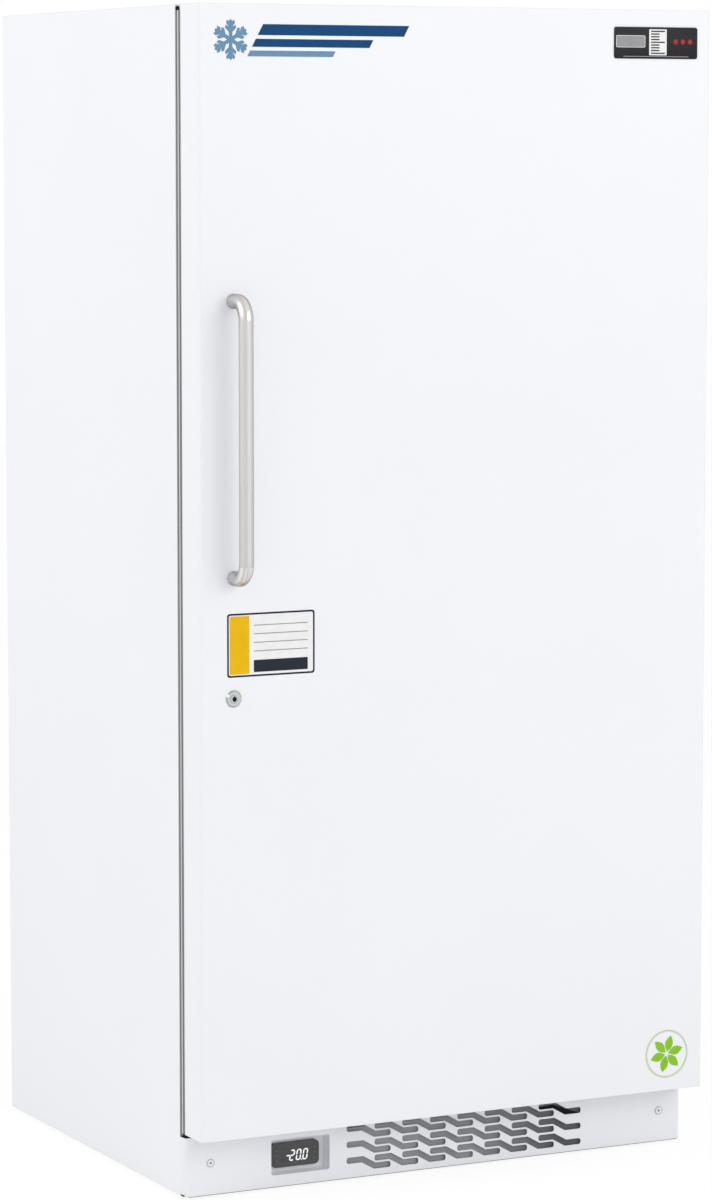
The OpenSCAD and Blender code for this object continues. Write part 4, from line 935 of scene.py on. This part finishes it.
def green_mark():
    """A ring and a rosette near the door's lower right corner."""
    width, _, height = (door_high - door_low) / MM
    centre = door_point(width - MARK_FROM_RIGHT, height - MARK_FROM_BOTTOM)
    flat_ring("green_ring", MARK_R, MARK_R - 3.0, centre, FILM, pale_green_ink, "door",
              steps=48)
    for i in range(6):
        sheet(f"green_petal_{i + 1}", petal(60 * i + 15, 2.5, MARK_R - 8, 6.6), centre, FILM, green_ink,
              "door")


green_mark()
print("green mark is", 2 * MARK_R, "mm across")

# %% [markdown]
# The display shows a set temperature in seven-segment digits. Each lit segment is a slim bar with
# pointed ends; the digits lean a little, as on most panel controllers. The glow is an emission on a
# pale base, so the digits also read as white when the lamps are off.

# %% Display digits
SEGMENTS = {"2": "abged", "0": "abcdef", "-": "g"}
SHOWN = "-200"
DIGIT_H = 16.2
DIGIT_W = 8.0
DIGIT_PITCH = 10.4
MINUS_SHIFT = 4.2
STROKE = 2.0
LEAN = math.tan(math.radians(9))
DIGIT_DROP = 1.4
GLOW_STRENGTH = 0.55


def lit_white():
    """Pale plastic that glows evenly, with a faint unevenness from the lamp behind it."""
    material = finish("lit_white", (0.8, 0.8, 0.8), drift=0.9, patches=150, bump=0.002, edge=0.0002)
    tree = material.node_tree
    shader = tree.nodes["Principled BSDF"]
    glow = place_effect(tree, TONE_DRIFT, Light=(0.9, 0.93, 0.95, 1), Dark=(0.7, 0.74, 0.78, 1),
                        Patches_per_m=180)
    tree.links.new(glow["Colour"], shader.inputs["Emission Color"])
    shader.inputs["Emission Strength"].default_value = GLOW_STRENGTH
    return material


def segment(start, end):
    """A lit bar between two points, with pointed ends."""
    (x0, z0), (x1, z1) = start, end
    length = math.hypot(x1 - x0, z1 - z0)
    along = ((x1 - x0) / length, (z1 - z0) / length)
    side = (-along[1] * STROKE / 2, along[0] * STROKE / 2)
    gap = 0.25
    inner = STROKE / 2 + gap
    points = [(gap, 0), (inner, 1), (length - inner, 1)]
    points += [(length - gap, 0), (length - inner, -1), (inner, -1)]
    return [(x0 + along[0] * t + side[0] * s, z0 + along[1] * t + side[1] * s) for t, s in points]


def display_digits(text, origin, material):
    """Writes digits in segments about origin."""
    x0, x1 = -(DIGIT_W - STROKE) / 2, (DIGIT_W - STROKE) / 2
    z0, z1 = -(DIGIT_H - STROKE) / 2, (DIGIT_H - STROKE) / 2
    bars = {"a": ((x0, z1), (x1, z1)), "b": ((x1, z1), (x1, 0)), "c": ((x1, 0), (x1, z0)),
            "d": ((x0, z0), (x1, z0)), "e": ((x0, 0), (x0, z0)), "f": ((x0, z1), (x0, 0)),
            "g": ((x0, 0), (x1, 0))}
    for place, sign in enumerate(text):
        shift = (place - (len(text) - 1) / 2) * DIGIT_PITCH + (MINUS_SHIFT if sign == "-" else 0)
        for name in SEGMENTS[sign]:
            outline = [(x + shift + z * LEAN, z) for x, z in segment(*bars[name])]
            sheet(f"digit_{place + 1}_{name}", outline, origin, FILM, material, "cabinet")


digit_origin = face_middle("controller_window") - Vector((0, 0, DIGIT_DROP * MM))
digit_white = lit_white()
display_digits(SHOWN, digit_origin, digit_white)
point = moved(round_rect(1.8, 1.8, 0.8, 3), DIGIT_PITCH + 0.1 - DIGIT_H / 2 * LEAN, -DIGIT_H / 2 + 0.9)
sheet("digit_point", point, digit_origin, FILM, digit_white, "cabinet")
print("lit segments:", sum(len(SEGMENTS[sign]) for sign in SHOWN))

# %% [markdown]
# The six keys carry small pale signs, printed on the key itself: arrows, a dot, a diamond, a bar and
# a block. They ride on their own keys, so they go in with them.

# %% Key signs
KEY_SIGNS = [
    [(-1.6, -1.0), (1.6, -1.0), (0, 1.3)],
    round_rect(2.4, 2.4, 1.1, 5),
    [(-1.6, 1.0), (0, -1.3), (1.6, 1.0)],
    [(-1.3, 0), (0, -1.4), (1.3, 0), (0, 1.4)],
    round_rect(3.2, 0.9, 0.4, 3),
    round_rect(2.6, 2.2, 0.5, 3),
]
key_ink = ink("key_ink", (0.20, 0.205, 0.21))
for key, outline in zip(numbered("key", 6), KEY_SIGNS):
    sheet(f"{key}_sign", outline, face_middle(key), INK_T, key_ink, key)
print("key signs:", len(KEY_SIGNS))

# %% [markdown]
# A magnetic gasket closes the joint round the door. It is a hollow vinyl profile. Its feet on the
# door and on the cabinet are a dark grey that is painted shade for the shadowed recesses beside them,
# and between them a pale rib stands a little proud. The imported solid is a stepped ring. Here one
# closed profile is carried round the door's rectangle with mitred corners, exactly as the real one is
# cut and welded. The same helper makes the hem, the narrow fold of the door's own sheet that the
# gasket is clipped behind.

# %% Door gasket
GASKET_SHY = 8.0
GASKET_RIM = [(1.4, 2.8), (0.9, 3.4), (0.9, 5.2), (1.3, 5.9), (0.9, 6.6), (0.9, 8.6), (0.3, 9.1), (0.0, 9.9),
              (0.0, 11.7), (0.3, 12.5), (0.9, 13.0), (0.9, 15.4), (1.4, 16.1), (0.9, 16.8), (0.9, 19.0)]
GASKET_INNER = [(34.0, 19.0), (34.0, 14.5), (29.0, 12.0), (29.0, 7.0), (34.0, 5.0), (34.0, 0.0), (7.0, 0.0),
                (7.0, 2.8)]
PALE_RIB = range(6, 9)
HEM = [(0.1, 0.0), (0.1, 2.1), (0.3, 2.6), (0.8, 2.8), (6.0, 2.8), (6.0, 0.0)]


def sweep_round_door(name, profile, shy, materials, second=()):
    """Carries a closed profile of (inset, depth) points round the door's back, with mitred corners.

    The rows of faces in second take the second material. The top and the hinge side keep shy mm in."""
    low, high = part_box("door_outer_panel")
    shape = bmesh.new()
    rings = []
    for inset, depth in profile:
        x0, x1 = low.x + inset * MM, high.x - (inset + shy) * MM
        z0, z1 = low.z + inset * MM, high.z - (inset + shy) * MM
        y = high.y + depth * MM
        rings.append([shape.verts.new((x, y, z)) for x, z in ((x0, z0), (x1, z0), (x1, z1), (x0, z1))])
    for i, ring in enumerate(rings):
        after = rings[(i + 1) % len(rings)]
        for k in range(4):
            face = shape.faces.new((ring[k], ring[(k + 1) % 4], after[(k + 1) % 4], after[k]))
            face.material_index = 1 if i in second else 0
    bmesh.ops.recalc_face_normals(shape, faces=shape.faces)
    return place_piece(name, shape, 50, materials, "door")


# Painted shade: the dark grey of the gasket's feet stands for the shadowed recesses beside the rib.
gasket_painted_shade = finish("gasket_painted_shade_vinyl", (0.185, 0.188, 0.192), drift=0.9, patches=30, grain=1200,
                     rough=(0.5, 0.62), bump=0.01, edge=0.0004, Specular_IOR_Level=0.3)
gasket_pale = finish("gasket_pale_vinyl", (0.64, 0.65, 0.66), drift=0.95, patches=30, grain=1200,
                     rough=(0.42, 0.52), bump=0.01, edge=0.0004)
gasket = sweep_round_door("gasket_profile", GASKET_RIM + GASKET_INNER, GASKET_SHY,
                          [gasket_painted_shade, gasket_pale], PALE_RIB)
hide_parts("door_gasket")
sweep_round_door("door_hem", HEM, 0, [enamel])
print("gasket faces:", len(gasket.data.polygons))

# %% [markdown]
# Small dark pieces frame the cabinet's front, and all of them are painted shade. A black strip on the
# kick panel's upper fold, with a dark lip behind it, stands for the shade in the joint under the door.
# A black block at the top of the cabinet's front stands for the shade in the joint beside the door's
# top corner. A narrow dark strip on the kick panel's lower fold stands for the shade under it, and
# black slivers at either end stand for the shade in the folds' relief notches.

# %% Painted shade round the front
def block(name, low, high, bevel, material):
    """A small block with bevelled edges on the cabinet, between two corners in millimetres."""
    shape = bmesh.new()
    bmesh.ops.create_cube(shape, size=1)
    for vert in shape.verts:
        vert.co = [(low[i] + (high[i] - low[i]) * (vert.co[i] + 0.5)) * MM for i in range(3)]
    bmesh.ops.bevel(shape, geom=shape.edges[:], offset=bevel * MM, segments=3, profile=0.5, affect="EDGES")
    place_piece(name, shape, 40, [material], "cabinet")


SHADE_STRIP_T = 1.9
painted_shade_black = finish("painted_shade_black", (0.012, 0.012, 0.013), drift=0.8, patches=80, grain=1200,
                    rough=(0.8, 0.95), bump=0.08, edge=0.0003, Specular_IOR_Level=0.2)
kick_low, kick_high = [Vector(corner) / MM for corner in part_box("kick_panel")]
left, right, kick_y = kick_low.x, kick_high.x, kick_low.y
foot_z, fold_z = kick_low.z, kick_high.z
front_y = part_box("breaker_frame")[0].y / MM
top_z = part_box("side_panel_left")[1].z / MM
# Painted shade: a black strip and a dark lip stand for the shade in the joint under the door.
block("kick_top_painted_shade", (left + 1.2, kick_y + 1.6, fold_z), (right - 1.2, front_y, fold_z + SHADE_STRIP_T),
      0.4, painted_shade_black)
block("kick_joint_painted_shade", (left + 0.8, front_y - 5.5, fold_z + SHADE_STRIP_T), (right - 0.8, front_y, fold_z + 6.0),
      0.4, gasket_painted_shade)
# Painted shade: a dark strip draws the shade in the gap under the kick panel.
block("kick_foot_painted_shade", (left + 6, kick_y + 0.4, foot_z - 1.0), (right - 6, kick_y + 2.4, foot_z + 0.2),
      0.3, gasket_painted_shade)
# Painted shade: a black block stands for the shade in the joint at the door's top corner.
block("top_corner_painted_shade", (left + 0.5, front_y - 4.8, top_z - 8.2), (left + 5.0, front_y, top_z - 2.4),
      1.2, painted_shade_black)
# Painted shade: black slivers stand for the shade in the relief notches.
for side, x, start in (("left", left, 3.5), ("right", right, 12.0)):
    block(f"kick_notch_painted_shade_{side}", (x - 0.15, kick_y + start, foot_z), (x + 0.15, front_y - 3, foot_z + 2.2),
          0.12, painted_shade_black)
print("kick panel front at", round(kick_y, 1), "mm, top at", round(fold_z, 1), "mm")

# %% [markdown]
# The kick panel hangs on two painted screws. On each head lies a painted shadow ring round the rim
# and a dark dot of painted shade for its socket. The lock's dark keyway is a black sheet of painted
# shade, with a fine painted shadow line between the turning plug and its housing.

# %% Screw rings and keyway
KICK_SCREW_X = 367.0
KICK_SCREW_Z = 51.0


def flat_grey(name, colour):
    """A dull grey for fine shadow lines."""
    return finish(name, colour, drift=0.9, patches=200, rough=(0.6, 0.7), bump=0.002, edge=0.0001,
                  Specular_IOR_Level=0.2)


shadow_grey = flat_grey("shadow_grey", (0.10, 0.10, 0.105))
ring_grey = flat_grey("ring_grey", (0.40, 0.40, 0.41))
head_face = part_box("panel_screws")[0].y
for side, x in (("left", -KICK_SCREW_X), ("right", KICK_SCREW_X)):
    on_head = Vector((x * MM, head_face, KICK_SCREW_Z * MM))
    flat_ring(f"screw_ring_{side}", 5.9, 5.1, on_head, 0.08, ring_grey, "cabinet")
    # Painted shade: a dark dot for the screw's socket.
    sheet(f"screw_socket_{side}", round_rect(2.2, 2.2, 1.05, 5), on_head, INK_T, shadow_grey, "cabinet")

lock_low, lock_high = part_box("lock_plug")
plug_r = (lock_high.x - lock_low.x) / 2 / MM
plug_face = face_middle("lock_plug")
flat_ring("plug_groove", plug_r - 0.05, plug_r - 0.65, plug_face, INK_T, ring_grey, "lock")
# Painted shade: black sheets stand for the depth of the keyway.
sheet("keyway_round", round_rect(6.8, 6.8, 3.35, 6), plug_face, 0.05, painted_shade_black, "lock")
sheet("keyway_slot", round_rect(3.0, 7.8, 0.8, 3), plug_face, INK_T, painted_shade_black, "lock")
print("plug radius in mm:", round(plug_r, 2))
